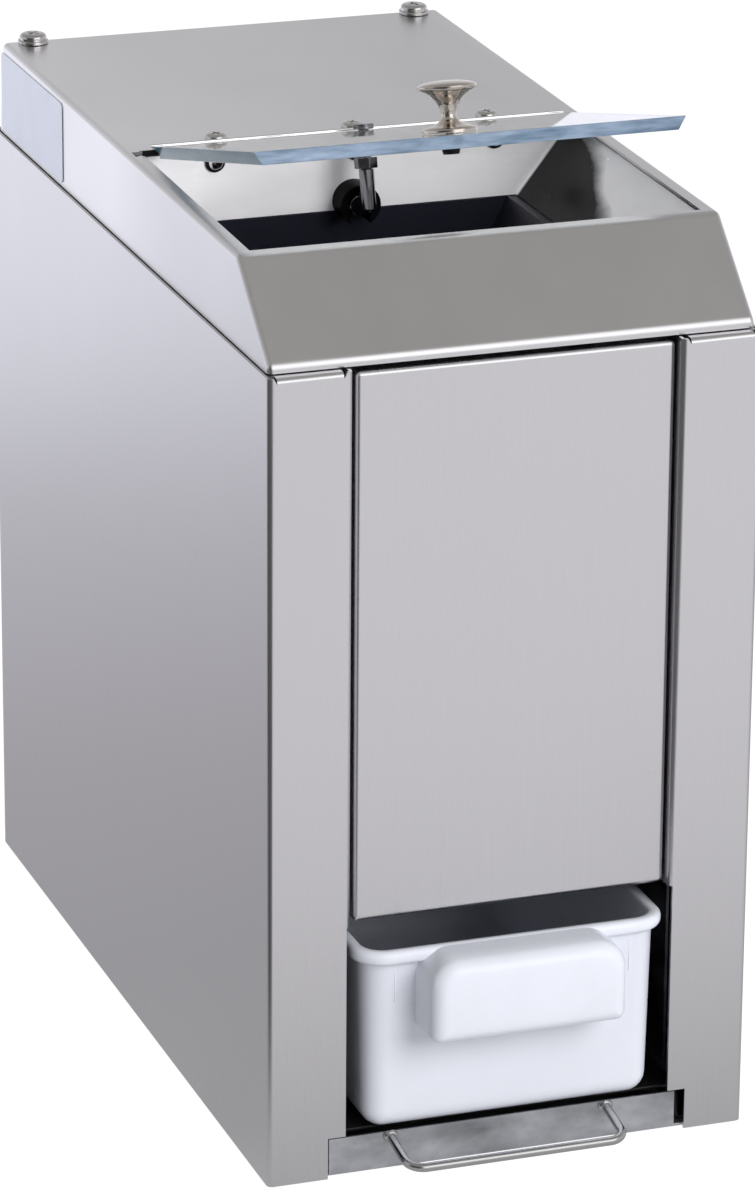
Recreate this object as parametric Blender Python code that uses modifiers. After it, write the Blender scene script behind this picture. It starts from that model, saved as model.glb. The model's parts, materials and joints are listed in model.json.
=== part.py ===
"""Countertop ice crusher.

A folded steel casing with a clear hinged lid over its hopper, a claw rotor that
turns between the fingers of a comb, a pull-out ice bin and a drip tray below it.

Metres, +Z up, the front faces -Y. The origin is on the ground, in the middle of
the whole outline. Every piece hangs on an empty at the middle of the casing's
lower front edge, so places below are counted from there: y back, z up.
"""
import math

import bmesh
import bpy
from mathutils import Matrix, Vector

# General sizes
SHEET = 0.0012
GAP = 0.0003
OVERRUN = 0.003
BEND = 0.0022
BEND_STEPS = 4
MERGE = 0.00001
ROUND_STEPS = 24
SMALL_ROUND_STEPS = 20
PIN_STEPS = 12
HEX_SIDES = 6
QUARTER_TURN = math.radians(90)
FACING_SHARE = 0.9
ARC_SHARE = 0.5

# Casing
BODY_WIDTH = 0.190
BODY_DEPTH = 0.362
BODY_HEIGHT = 0.3146
FOOT_HEIGHT = 0.004
FOOT_RADIUS = 0.010
FOOT_STUD_RADIUS = 0.003
FOOT_INSET_X = 0.020
FOOT_INSET_Y = 0.034
FOOT_TAPER = 0.0012
COLUMN_WIDTH = 0.032
COLUMN_RETURN = 0.018
BAY_STEP = 0.0015
BAY_BOTTOM = 0.0165
BAY_TOP = 0.1005
NOTCH_STEP = 0.0085
REAR_FLANGE = 0.015
TOP_FLANGE = 0.009
TOP_FLANGE_RELIEF = 0.0035
BASE_FLANGE = 0.010
BASE_SETBACK = 0.0028

# Front cover and the bulkhead behind it
COVER_PLAY = 0.0024
COVER_RECESS = 0.0045
COVER_DROP = 0.0021
BULKHEAD_MARGIN = 0.011
BULKHEAD_DROP = 0.006

# Rear panel
REAR_MARGIN = 0.0020
REAR_DROP = 0.003
VENT_LENGTH = 0.050
VENT_WIDTH = 0.004
VENT_PITCH = 0.010
VENT_ROWS = 7
VENT_X = 0.036
VENT_DROP = 0.1096
SWITCH_INSET = 0.040
SWITCH_Z = 0.130
SWITCH_WIDTH = 0.022
SWITCH_HEIGHT = 0.030
BEZEL_RIM = 0.0025
BEZEL_PROUD = 0.002
BEZEL_DEPTH = 0.016
BEZEL_WALL = 0.0018
ROCKER_PROUD = 0.0032
ROCKER_DEPTH = 0.010
ROCKER_ANGLE = math.radians(8)
GLAND_INSET = 0.040
GLAND_Z = 0.060
GLAND_RADIUS = 0.0105
GLAND_BODY_RADIUS = 0.008
GLAND_BORE = 0.0042
GLAND_LENGTH = 0.014
GLAND_INSIDE = 0.010
GLAND_NUT_LENGTH = 0.004

# Hood
HOOD_INSET = 0.0015
HOOD_FRONT = 0.005
HOOD_RIDGE_Y = 0.041
HOOD_RIDGE = 0.0345
HOOD_REAR = 0.0385
HOOD_SETBACK = 0.005
HOOD_REAR_LEAN = 0.007
HOOD_LIFT = 0.0004
HOOD_LIP = 0.0026
HOOD_RETURN = 0.009
HOOD_RELIEF = 0.0045
MOUTH_MARGIN = 0.0077
MOUTH_FRONT = 0.0450
MOUTH_BACK = 0.1805
PIN_NOTCH_LENGTH = 0.0060
PIN_NOTCH_REACH = 0.0035

# Hopper
HOPPER_MARGIN = 0.0006
HOPPER_DROP = 0.0008
HOPPER_SHEET = 0.0010
HOPPER_SLANT = 0.0213
HOPPER_BOTTOM_FRONT = 0.074
HOPPER_BOTTOM_RISE = 0.0059
HOPPER_FLANGE = 0.012

# Crushing chamber
AXIS_DROP = 0.0835
AXIS_Y = 0.1275
CHAMBER_LEDGE = 0.0020
CHAMBER_WALL = 0.0065
TROUGH_RADIUS = 0.041
TROUGH_STEPS = 16
OUTLET_HALF = 0.026
BLOCK_WALL = 0.012
BEARING_RADIUS = 0.013
BEARING_FLANGE_RADIUS = 0.0165
BEARING_FLANGE = 0.003
SHAFT_RADIUS = 0.007
HEX_RADIUS = 0.0098
SHAFT_END = 0.003
SHAFT_TAIL = 0.036

# Rotor blades and the comb
BLADE_COUNT = 5
BLADE_PITCH = 0.0205
BLADE_THICKNESS = 0.005
BLADE_PLAY = 0.0035
HUB_RADIUS = 0.0145
CLAW_COUNT = 3
CLAW_TWIST = math.radians(26)
CLAW_ANGLE_SHARES = (-0.38, -0.20, -0.05, 0.02, 0.06, 0.10, 0.20)
CLAW_RADIUS_SHARES = (0.40, 0.62, 0.93, 1.0, 0.92, 0.66, 0.44)
COMB_THICKNESS = 0.008
COMB_FINGER = 0.0100
COMB_PLAY = 0.0025
COMB_SPINE_SETBACK = 0.0005
COMB_PROUD = 0.0045
COMB_MARGIN = 0.004

# Bridge, chute, motor
BRIDGE_MARGIN = 0.007
BRIDGE_DROP = 0.054
BRIDGE_FRONT = 0.060
BRIDGE_SETBACK = 0.017
CHUTE_HALF = 0.032
CHUTE_FRONT = 0.078
CHUTE_BACK = 0.175
CHUTE_RISE = 0.0035
CHUTE_FLANGE = 0.008
BEARING_ROOM = 0.0009
GEARBOX_LENGTH = 0.052
GEARBOX_HALF = 0.037
GEARBOX_RISE = 0.054
GEARBOX_EDGE = 0.005
GEARBOX_BORE_DEPTH = 0.0335
MOTOR_RADIUS = 0.042
MOTOR_REAR_ROOM = 0.0362
MOTOR_BELL = 0.036
MOTOR_BELL_SHARE = 0.12
MOTOR_SEAT_SHARE = 0.29
MOTOR_STACK_STEP = 0.0025
TERMINAL_BOX_HALF = 0.014
TERMINAL_BOX_SHARE = 0.17
TERMINAL_BOX_RISE = 0.010
MOTOR_STEPS = 28
MOTOR_FOOT_HALF = 0.026
MOTOR_FOOT_MARGIN = 0.008

# Lid
LID_PLAY = 0.0010
LID_FRONT_PLAY = 0.0046
LID_THICKNESS = 0.005
LID_BEVEL = 0.0033
LID_TILT = math.radians(13.6)
LID_SIDE_PLAY = 0.0006
LID_PROUD = 0.0024
HINGE_BACK = 0.0042
HINGE_SETBACK = 0.0028
HINGE_PIN_RADIUS = 0.0013
HINGE_PIN_IN = 0.006
HINGE_PIN_OUT = 0.0030
KNOB_FROM_EDGE = 0.1050
KNOB_RADIUS = 0.0110
KNOB_BASE_RADIUS = 0.0104
KNOB_HEIGHT = 0.0190
KNOB_STEPS = 20
KNOB_SHARES = ((0.0, 1.0), (0.40, 0.985), (0.75, 0.93), (0.96, 0.875), (1.0, 0.84), (0.95, 0.80),
               (0.72, 0.74), (0.50, 0.66), (0.35, 0.55), (0.27, 0.42), (0.27, 0.30), (0.36, 0.20),
               (0.60, 0.13))
KNOB_FOOT_SHARE = 0.09
KNOB_HOLE = 0.0020
KNOB_SCREW_HEAD = 0.0037
KNOB_SCREW_TAPER = 0.0007
KNOB_SCREW_HEIGHT = 0.0026
KNOB_SCREW_SHANK = 0.0015
KNOB_SCREW_LENGTH = 0.011
ROD_FROM_EDGE = 0.0117
ROD_X = -0.0015
ROD_RADIUS = 0.0029
ROD_TIP_TAPER = 0.0012
ROD_LENGTH = 0.0265
ROD_STUD = 0.0020
ROD_HEAD = 0.0040
ROD_HEAD_HEIGHT = 0.0020
NUT_RADIUS = 0.0046
NUT_HEIGHT = 0.0042
NUT_DROP = 0.0055

# Interlock switch in the hopper's back wall
GUARD_OUTER = 0.0082
GUARD_INNER = 0.0052
GUARD_DEPTH = 0.0105
GUARD_SLOT = 0.0040
GUARD_RISE = 0.0040
PLUNGER_RADIUS = 0.0036
PLUNGER_HEAD = 0.0042
PLUNGER_HEAD_LENGTH = 0.0030
PLUNGER_BACK = 0.0080
SWITCH_BODY_HALF = 0.0100
SWITCH_BODY_HEIGHT = 0.0200
SWITCH_BODY_DEPTH = 0.0160
SWITCH_BORE_DEPTH = 0.0130

# Screws
PAN_RADIUS = 0.0043
PAN_HEIGHT = 0.0028
PAN_SHARES = ((0.0, 1.0), (0.55, 0.92), (0.88, 0.62), (1.0, 0.225))
SHANK_RADIUS = 0.0019
SHANK_LENGTH = 0.0040
TOP_SCREW_INSET = 0.0400
TOP_SCREW_BACK = 0.0053
REAR_SCREW_INSET = 0.0132
REAR_SCREW_SETBACK = 0.0165
REAR_SCREW_RADIUS = 0.0050
REAR_SCREW_HEIGHT = 0.0034
WASHER_RADIUS = 0.0062
WASHER_HEIGHT = 0.0012
WALL_SCREW_RADIUS = 0.0042
WALL_SCREW_HEIGHT = 0.0024
WALL_SCREW_INSET = 0.0090
WALL_SCREW_RISE = 0.0235
SCREW_STEPS = 16

# Ice bin
BIN_FRONT = -0.0030
BIN_PLAY = 0.0045
BIN_LENGTH = 0.178
BIN_BOTTOM = 0.0170
BIN_HEIGHT = 0.0715
BIN_TAPER = 0.0016
BIN_WALL = 0.0020
BIN_CORNER = 0.010
BIN_FOOT_RADIUS = 0.008
BIN_RIM = 0.0032
BIN_RIM_HEIGHT = 0.0068
BIN_RIM_CHAMFER = 0.0024
BIN_CORNER_STEPS = 5
CUP_INSET = 0.0200
CUP_REACH = 0.0208
CUP_HEIGHT = 0.0295
CUP_CORNER = 0.0110
CUP_EDGE = 0.0055
CUP_STEPS = 3
CUP_DROP = 0.0008
SHELF_PLAY = 0.0004
SHELF_EDGE = 0.0002
SHELF_FRONT = 0.006
SHELF_BACK_ROOM = 0.0132
SHELF_SLOT_LENGTH = 0.090
SHELF_SLOT_WIDTH = 0.006
SHELF_SLOT_PITCH = 0.024
SHELF_SLOT_COUNT = 6

# Drip tray and its rails
TRAY_SHIFT = -0.0018
TRAY_PLAY = 0.0040
TRAY_SETBACK = 0.062
TRAY_WALL_TOP = 0.0125
PLATE_EDGE = 0.0031
PLATE_TOP = 0.0160
PLATE_FRONT = 0.0002
RAIL_INSET = 0.0248
RAIL_FRONT = 0.006
RAIL_OVERHANG = 0.010
RAIL_FOOT = 0.011
BAIL_RADIUS = 0.00175
BAIL_RESOLUTION = 2
BAIL_INSET = 0.0263
BAIL_SHIFT = -0.0020
BAIL_REACH = 0.0220
BAIL_WELD_Z = 0.0143
BAIL_DROOP = 0.0040
BAIL_CORNER = 0.0065
BAIL_CORNER_STEPS = 4

# The casing's front stands so that the whole outline is centred on the origin
FRONT_REACH = BAIL_REACH + BAIL_RADIUS + 2 * GAP - PLATE_FRONT
FRONT_Y = (FRONT_REACH - BODY_DEPTH - GLAND_LENGTH) / 2

# Widths and places across, worked out from the casing's sides inwards
HALF_WIDTH = BODY_WIDTH / 2
COLUMN_INNER = HALF_WIDTH - COLUMN_WIDTH
BAY_HALF = COLUMN_INNER + BAY_STEP
NOTCH_HALF = COLUMN_INNER + NOTCH_STEP
COVER_HALF = COLUMN_INNER - COVER_PLAY
BULKHEAD_HALF = HALF_WIDTH - BULKHEAD_MARGIN
REAR_HALF = HALF_WIDTH - REAR_MARGIN
SWITCH_X = SWITCH_INSET - HALF_WIDTH
GLAND_X = HALF_WIDTH - GLAND_INSET
HOOD_HALF = HALF_WIDTH - HOOD_INSET
MOUTH_HALF = HALF_WIDTH - MOUTH_MARGIN
HOPPER_BOTTOM_HALF = MOUTH_HALF - HOPPER_SLANT
CHAMBER_HALF = HOPPER_BOTTOM_HALF - CHAMBER_LEDGE
BLOCK_HALF = TROUGH_RADIUS + BLOCK_WALL
BLADE_TIP = TROUGH_RADIUS - BLADE_PLAY
COMB_TIP = HUB_RADIUS + COMB_PLAY
COMB_SPINE = TROUGH_RADIUS + COMB_SPINE_SETBACK
COMB_BACK = BLOCK_HALF + COMB_PROUD
BRIDGE_HALF = HALF_WIDTH - BRIDGE_MARGIN
LID_HALF = MOUTH_HALF - LID_PLAY
TOP_SCREW_X = HALF_WIDTH - TOP_SCREW_INSET
REAR_SCREW_X = HALF_WIDTH - REAR_SCREW_INSET
WALL_SCREW_X = HOPPER_BOTTOM_HALF - WALL_SCREW_INSET
BIN_HALF = COLUMN_INNER - BIN_PLAY
CUP_HALF = BIN_HALF - CUP_INSET
RAIL_X = HALF_WIDTH - RAIL_INSET
SHELF_HALF = RAIL_X - SHELF_EDGE
TRAY_HALF = RAIL_X - TRAY_PLAY
PLATE_HALF = TRAY_HALF + PLATE_EDGE
BAIL_HALF = PLATE_HALF - BAIL_INSET

# Places from front to back
HOOD_BACK_Y = BODY_DEPTH - HOOD_SETBACK
HOOD_REAR_TOP_Y = HOOD_BACK_Y - HOOD_REAR_LEAN
HOOD_SLOPE = math.atan2(HOOD_REAR - HOOD_RIDGE, HOOD_REAR_TOP_Y - HOOD_RIDGE_Y)
HOPPER_WALL = MOUTH_BACK + HOPPER_MARGIN
CHAMBER_FRONT = HOPPER_BOTTOM_FRONT - HOPPER_SHEET
CHAMBER_BACK = HOPPER_WALL
GEARBOX_FRONT = CHAMBER_BACK + CHAMBER_WALL + BEARING_FLANGE + BEARING_ROOM
MOTOR_FRONT = GEARBOX_FRONT + GEARBOX_LENGTH + GAP
MOTOR_LENGTH = BODY_DEPTH - MOTOR_REAR_ROOM - MOTOR_FRONT
BRIDGE_BACK = BODY_DEPTH - BRIDGE_SETBACK
LID_LENGTH = MOUTH_BACK - MOUTH_FRONT - HINGE_BACK + HINGE_SETBACK - LID_FRONT_PLAY
TOP_SCREW_Y = MOUTH_BACK + TOP_SCREW_BACK
REAR_SCREW_Y = BODY_DEPTH - REAR_SCREW_SETBACK
SHELF_BACK = BIN_FRONT + BIN_LENGTH + SHELF_BACK_ROOM
TRAY_BACK = BODY_DEPTH - TRAY_SETBACK
RAIL_BACK = TRAY_BACK + RAIL_OVERHANG

# Heights; the hopper, the chamber and the drive hang from the casing's top
COVER_TOP = BODY_HEIGHT - COVER_DROP
VENT_Z = BODY_HEIGHT - VENT_DROP
HOPPER_BOTTOM = BODY_HEIGHT + HOPPER_BOTTOM_RISE
GUARD_Z = HOPPER_BOTTOM + GUARD_RISE
WALL_SCREW_Z = HOPPER_BOTTOM + WALL_SCREW_RISE
AXIS_Z = HOPPER_BOTTOM - AXIS_DROP
CHAMBER_SHOULDER = AXIS_Z + TROUGH_RADIUS
GEARBOX_TOP = AXIS_Z + GEARBOX_RISE
BRIDGE_TOP = AXIS_Z - BRIDGE_DROP
CHUTE_BOTTOM = BAY_TOP + CHUTE_RISE
CHUTE_TOP = BRIDGE_TOP + GAP + SHEET
CHAMBER_BOTTOM = CHUTE_TOP + GAP
CHAMBER_TOP = HOPPER_BOTTOM - GAP
SHELF_TOP = BIN_BOTTOM - SHELF_PLAY


def hood_top(y):
    """Height of the hood's outer face at a place behind its ridge."""
    return BODY_HEIGHT + HOOD_RIDGE + (y - HOOD_RIDGE_Y) * math.tan(HOOD_SLOPE)


def material(name, colour, roughness, metallic=0.0, alpha=1.0):
    made = bpy.data.materials.new(name)
    made.use_nodes = True
    shader = made.node_tree.nodes["Principled BSDF"]
    shader.inputs["Base Color"].default_value = (*colour, 1.0)
    shader.inputs["Roughness"].default_value = roughness
    shader.inputs["Metallic"].default_value = metallic
    shader.inputs["Alpha"].default_value = alpha
    made.diffuse_color = (*colour, alpha)
    return made


def start():
    """Empty the scene, make the two collections and the empty that carries the pieces."""
    for old in list(bpy.data.objects):
        bpy.data.objects.remove(old, do_unlink=True)
    scene = bpy.context.scene
    made = {}
    for name in ("ice_crusher", "cutters"):
        made[name] = bpy.data.collections.new(name)
        scene.collection.children.link(made[name])
    carrier = bpy.data.objects.new("casing_origin", None)
    carrier.location = (0, FRONT_Y, FOOT_HEIGHT)
    made["ice_crusher"].objects.link(carrier)
    return made["ice_crusher"], made["cutters"], carrier


PARTS, CUTTERS, CARRIER = start()

STEEL = material("brushed_steel", (0.60, 0.60, 0.61), 0.35, 1.0)
ZINC = material("zinc_sheet", (0.52, 0.53, 0.54), 0.5, 1.0)
NICKEL = material("nickel", (0.72, 0.68, 0.60), 0.15, 1.0)
HARD_STEEL = material("hard_steel", (0.45, 0.45, 0.46), 0.3, 1.0)
BLACK = material("black_plastic", (0.03, 0.03, 0.035), 0.5)
GREY = material("motor_paint", (0.12, 0.13, 0.14), 0.45)
WHITE = material("white_plastic", (0.86, 0.87, 0.88), 0.4)
CLEAR = material("clear_acrylic", (0.75, 0.86, 0.92), 0.05, alpha=0.35)
RUBBER = material("rubber", (0.04, 0.04, 0.04), 0.8)


def add(name, mesh, look=None, place=(0, 0, 0), turn=(0, 0, 0), parent=None):
    """Link a mesh as a part, or as a cutter when it has no material."""
    made = bpy.data.objects.new(name, mesh)
    made.location = place
    made.rotation_euler = turn
    made.parent = parent or CARRIER
    if look:
        mesh.materials.append(look)
        PARTS.objects.link(made)
    else:
        CUTTERS.objects.link(made)
        made.hide_render = True
        made.display_type = "WIRE"
    return made


def mesh_from(shape, name):
    made = bpy.data.meshes.new(name)
    bmesh.ops.recalc_face_normals(shape, faces=shape.faces)
    shape.to_mesh(made)
    shape.free()
    return made


def block_shape(low, high):
    """A bmesh box between two corners."""
    shape = bmesh.new()
    low = Vector(low)
    high = Vector(high)
    spot = Matrix.Translation((low + high) / 2)
    bmesh.ops.create_cube(shape, size=1, matrix=spot @ Matrix.Diagonal((*(high - low), 1)))
    return shape


def block(name, low, high, look=None, **options):
    return add(name, mesh_from(block_shape(low, high), name), look, **options)


def edges_along(shape, axis):
    return [e for e in shape.edges
            if abs((e.verts[0].co - e.verts[1].co).normalized()[axis]) > FACING_SHARE]


def round_edges(shape, edges, radius, steps):
    bmesh.ops.bevel(shape, geom=edges, offset=radius, segments=steps, profile=ARC_SHARE,
                    affect="EDGES", clamp_overlap=True)


def extruded_shape(ring, way):
    """A bmesh of a flat ring of points, drawn along a vector."""
    shape = bmesh.new()
    face = shape.faces.new([shape.verts.new(point) for point in ring])
    grown = bmesh.ops.extrude_face_region(shape, geom=[face])
    moved = [v for v in grown["geom"] if isinstance(v, bmesh.types.BMVert)]
    bmesh.ops.translate(shape, verts=moved, vec=way)
    bmesh.ops.recalc_face_normals(shape, faces=shape.faces)
    return shape


def extruded(name, ring, way, look=None, **options):
    return add(name, mesh_from(extruded_shape(ring, way), name), look, **options)


def prism(name, outline, start_y, end_y, look=None, **options):
    """A closed outline in x and z, drawn along y."""
    ring = [(x, start_y, z) for x, z in outline]
    return extruded(name, ring, (0, end_y - start_y, 0), look, **options)


def cylinder(name, radius, start_y, end_y, look=None, x=0, z=0, steps=ROUND_STEPS, **options):
    """A round or hexagonal bar along y."""
    shape = bmesh.new()
    spot = Matrix.Translation((x, (start_y + end_y) / 2, z))
    spot = spot @ Matrix.Rotation(QUARTER_TURN, 4, "X")
    bmesh.ops.create_cone(shape, cap_ends=True, segments=steps, radius1=radius, radius2=radius,
                          depth=end_y - start_y, matrix=spot)
    return add(name, mesh_from(shape, name), look, **options)


def turned(name, profile, look=None, steps=SCREW_STEPS, **options):
    """A closed profile of radius and height, listed from the top down its outer side, turned about z."""
    mesh = bpy.data.meshes.new(name)
    points = [(r, 0, z) for r, z in profile]
    closed = profile[0][0] > 0
    lines = [(i, i + 1) for i in range(len(points) - 1)]
    if closed:
        lines.append((len(points) - 1, 0))
    mesh.from_pydata(points, lines, [])
    made = add(name, mesh, look, **options)
    screw = made.modifiers.new("turn", "SCREW")
    screw.steps = steps
    screw.render_steps = steps
    screw.use_merge_vertices = True
    screw.merge_threshold = MERGE
    screw.use_smooth_shade = True
    return made


def folded(name, outline, start_y, end_y, look, side=1):
    """Sheet folded to an open outline in x and z and drawn along y; its bends get a radius."""
    shape = bmesh.new()
    rails = [[shape.verts.new((x, y, z)) for x, z in outline] for y in (start_y, end_y)]
    for i in range(len(outline) - 1):
        shape.faces.new((rails[0][i], rails[0][i + 1], rails[1][i + 1], rails[1][i]))
    round_folds(shape)
    made = bpy.data.meshes.new(name)
    shape.to_mesh(made)
    shape.free()
    piece = add(name, made, look)
    thicken(piece, SHEET * side)
    return piece


def round_folds(shape):
    """Give each fold between two faces of a sheet its bend."""
    round_edges(shape, [e for e in shape.edges if len(e.link_faces) == 2], BEND, BEND_STEPS)


def thicken(piece, thickness):
    """Give a surface its wall; a positive wall lies behind the faces."""
    solid = piece.modifiers.new("wall", "SOLIDIFY")
    solid.thickness = thickness
    solid.offset = -1
    solid.use_even_offset = True
    return solid


def boolean(piece, other, operation):
    step = piece.modifiers.new(other.name, "BOOLEAN")
    step.object = other
    step.operation = operation
    step.solver = "EXACT"
    return step


def cut(piece, *others):
    for other in others:
        boolean(piece, other, "DIFFERENCE")


def join(piece, *others):
    for other in others:
        boolean(piece, other, "UNION")


# Casing

def make_base_pan():
    half = HALF_WIDTH - SHEET - GAP
    outline = ((half, BASE_FLANGE), (half, 0), (-half, 0), (-half, BASE_FLANGE))
    back = BODY_DEPTH - 2 * SHEET - 2 * GAP
    pan = folded("base_pan", outline, BASE_SETBACK, back, ZINC)
    for x in (-1, 1):
        for y in (FOOT_INSET_Y, BODY_DEPTH - FOOT_INSET_Y):
            place = (x * (HALF_WIDTH - FOOT_INSET_X), y, 0)
            profile = ((0, OVERRUN), (FOOT_STUD_RADIUS + GAP, OVERRUN), (FOOT_STUD_RADIUS + GAP, -OVERRUN),
                       (0, -OVERRUN))
            cut(pan, turned("foot_hole", profile, place=place))


def make_feet():
    """Rubber feet whose studs plug into the base pan."""
    lower = FOOT_RADIUS - FOOT_TAPER
    profile = ((0, SHEET), (FOOT_STUD_RADIUS, SHEET), (FOOT_STUD_RADIUS, -GAP),
               (FOOT_RADIUS, -GAP), (lower, -FOOT_HEIGHT), (0, -FOOT_HEIGHT))
    for side, x in (("left", -1), ("right", 1)):
        for end, y in (("front", FOOT_INSET_Y), ("rear", BODY_DEPTH - FOOT_INSET_Y)):
            place = (x * (HALF_WIDTH - FOOT_INSET_X), y, 0)
            turned("foot_" + end + "_" + side, profile, RUBBER, place=place, steps=SMALL_ROUND_STEPS)


def make_side_panel(name, s):
    """One folded sheet: rear flange, side, front column, the column's return and its rounded top flange."""
    outline = ((HALF_WIDTH - REAR_FLANGE, BODY_DEPTH), (HALF_WIDTH, BODY_DEPTH), (HALF_WIDTH, 0),
               (COLUMN_INNER, 0), (COLUMN_INNER, COLUMN_RETURN))
    shape = bmesh.new()
    low = [shape.verts.new((s * x, y, 0)) for x, y in outline]
    high = [shape.verts.new((s * x, y, BODY_HEIGHT)) for x, y in outline]
    ends = (HALF_WIDTH - TOP_FLANGE_RELIEF, COLUMN_INNER + TOP_FLANGE_RELIEF)
    crest = [shape.verts.new((s * x, 0, BODY_HEIGHT)) for x in ends]
    back = [shape.verts.new((s * x, TOP_FLANGE, BODY_HEIGHT)) for x in ends]
    for i in range(len(outline) - 1):
        on_column = outline[i][1] == outline[i + 1][1] == 0
        shape.faces.new((low[i + 1], low[i], high[i], *(crest if on_column else ()), high[i + 1]))
    shape.faces.new((*crest, *reversed(back)))
    bmesh.ops.recalc_face_normals(shape, faces=shape.faces)
    round_folds(shape)
    panel = add(name, mesh_from(shape, name), STEEL)
    thicken(panel, SHEET)
    edge = HALF_WIDTH - SHEET / 2
    ledge = side_block(name + "_ledge", s, (edge - TOP_FLANGE, edge),
                       (TOP_FLANGE / 2, BODY_DEPTH - REAR_FLANGE), (BODY_HEIGHT - SHEET, BODY_HEIGHT - GAP))
    join(panel, ledge)
    inner = COLUMN_INNER - OVERRUN
    deep = (-OVERRUN, COLUMN_RETURN + OVERRUN)
    step = side_block(name + "_bay", s, (inner, BAY_HALF), deep, (-OVERRUN, BAY_TOP))
    notch = side_block(name + "_notch", s, (inner, NOTCH_HALF), deep, (-OVERRUN, BAY_BOTTOM))
    cut(panel, step, notch)


def side_block(name, s, across, deep, high):
    """A cutter on the side s, from three pairs of limits; across counts from the middle outwards."""
    left, right = sorted(s * edge for edge in across)
    return block(name, (left, deep[0], high[0]), (right, deep[1], high[1]))


def make_front_cover():
    """A shallow pan, open at the back, between the two columns."""
    depth = COLUMN_RETURN - COVER_RECESS
    shape = block_shape((-COVER_HALF, COVER_RECESS, BAY_TOP), (COVER_HALF, COVER_RECESS + depth, COVER_TOP))
    rear = [f for f in shape.faces if f.normal.y > FACING_SHARE]
    bmesh.ops.delete(shape, geom=rear, context="FACES_ONLY")
    round_folds(shape)
    cover = add("front_cover", mesh_from(shape, "front_cover"), STEEL)
    thicken(cover, SHEET)


def make_bulkhead():
    front = COLUMN_RETURN + GAP
    block("front_bulkhead", (-BULKHEAD_HALF, front, BAY_TOP),
          (BULKHEAD_HALF, front + SHEET, BODY_HEIGHT - BULKHEAD_DROP), ZINC)


def make_rear_panel():
    """Flat sheet inside the side panels' rear flanges, with two banks of vents."""
    back = BODY_DEPTH - SHEET - GAP
    panel = block("rear_panel", (-REAR_HALF, back - SHEET, SHEET + GAP),
                  (REAR_HALF, back, BODY_HEIGHT - REAR_DROP), STEEL)
    for side in (-1, 1):
        for row in range(VENT_ROWS):
            z = VENT_Z + row * VENT_PITCH
            middle = side * VENT_X
            slot = block("vent", (middle - VENT_LENGTH / 2, back - SHEET - OVERRUN, z),
                         (middle + VENT_LENGTH / 2, back + OVERRUN, z + VENT_WIDTH))
            cut(panel, slot)
    hole = cylinder("gland_hole", GLAND_BODY_RADIUS + GAP, back - SHEET - OVERRUN, back + OVERRUN,
                    x=GLAND_X, z=GLAND_Z)
    window = block("switch_hole", (SWITCH_X - SWITCH_WIDTH / 2 - GAP, back - SHEET - OVERRUN,
                                   SWITCH_Z - SWITCH_HEIGHT / 2 - GAP),
                   (SWITCH_X + SWITCH_WIDTH / 2 + GAP, back + OVERRUN, SWITCH_Z + SWITCH_HEIGHT / 2 + GAP))
    cut(panel, hole, window)


def make_power_switch():
    back = BODY_DEPTH - SHEET - GAP
    spot = (SWITCH_X, back, SWITCH_Z)
    rim_x = SWITCH_WIDTH / 2 + BEZEL_RIM
    rim_z = SWITCH_HEIGHT / 2 + BEZEL_RIM
    bezel = block("power_switch_bezel", (-rim_x, GAP, -rim_z), (rim_x, BEZEL_PROUD, rim_z), BLACK,
                  place=spot)
    body = block("switch_body", (-SWITCH_WIDTH / 2, -BEZEL_DEPTH, -SWITCH_HEIGHT / 2),
                 (SWITCH_WIDTH / 2, BEZEL_PROUD / 2, SWITCH_HEIGHT / 2), place=spot)
    join(bezel, body)
    inner_x = SWITCH_WIDTH / 2 - BEZEL_WALL
    inner_z = SWITCH_HEIGHT / 2 - BEZEL_WALL
    well = block("switch_well", (-inner_x, -BEZEL_DEPTH + BEZEL_WALL, -inner_z),
                 (inner_x, BEZEL_PROUD + OVERRUN, inner_z), place=spot)
    cut(bezel, well)
    key_x = inner_x - GAP
    key_z = inner_z - ROCKER_PROUD * math.sin(ROCKER_ANGLE) - 2 * GAP
    profile = ((0, -ROCKER_DEPTH), (key_z, 0), (key_z, ROCKER_PROUD), (0, BEZEL_PROUD),
               (-key_z, ROCKER_PROUD), (-key_z, 0))
    ring = [(-key_x, y, z) for z, y in profile]
    extruded("power_switch_rocker", ring, (2 * key_x, 0, 0), BLACK, place=spot, turn=(ROCKER_ANGLE, 0, 0))


def make_cable_gland():
    back = BODY_DEPTH - SHEET - GAP
    tip = GLAND_LENGTH + SHEET + GAP
    profile = ((GLAND_BORE, tip), (GLAND_BODY_RADIUS - SHEET, tip), (GLAND_RADIUS, GLAND_NUT_LENGTH),
               (GLAND_RADIUS, GAP), (GLAND_BODY_RADIUS, GAP), (GLAND_BODY_RADIUS, -GLAND_INSIDE),
               (GLAND_BORE, -GLAND_INSIDE))
    turned("cable_gland", profile, BLACK, place=(GLAND_X, back, GLAND_Z), turn=(-QUARTER_TURN, 0, 0),
           steps=SMALL_ROUND_STEPS)


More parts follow.
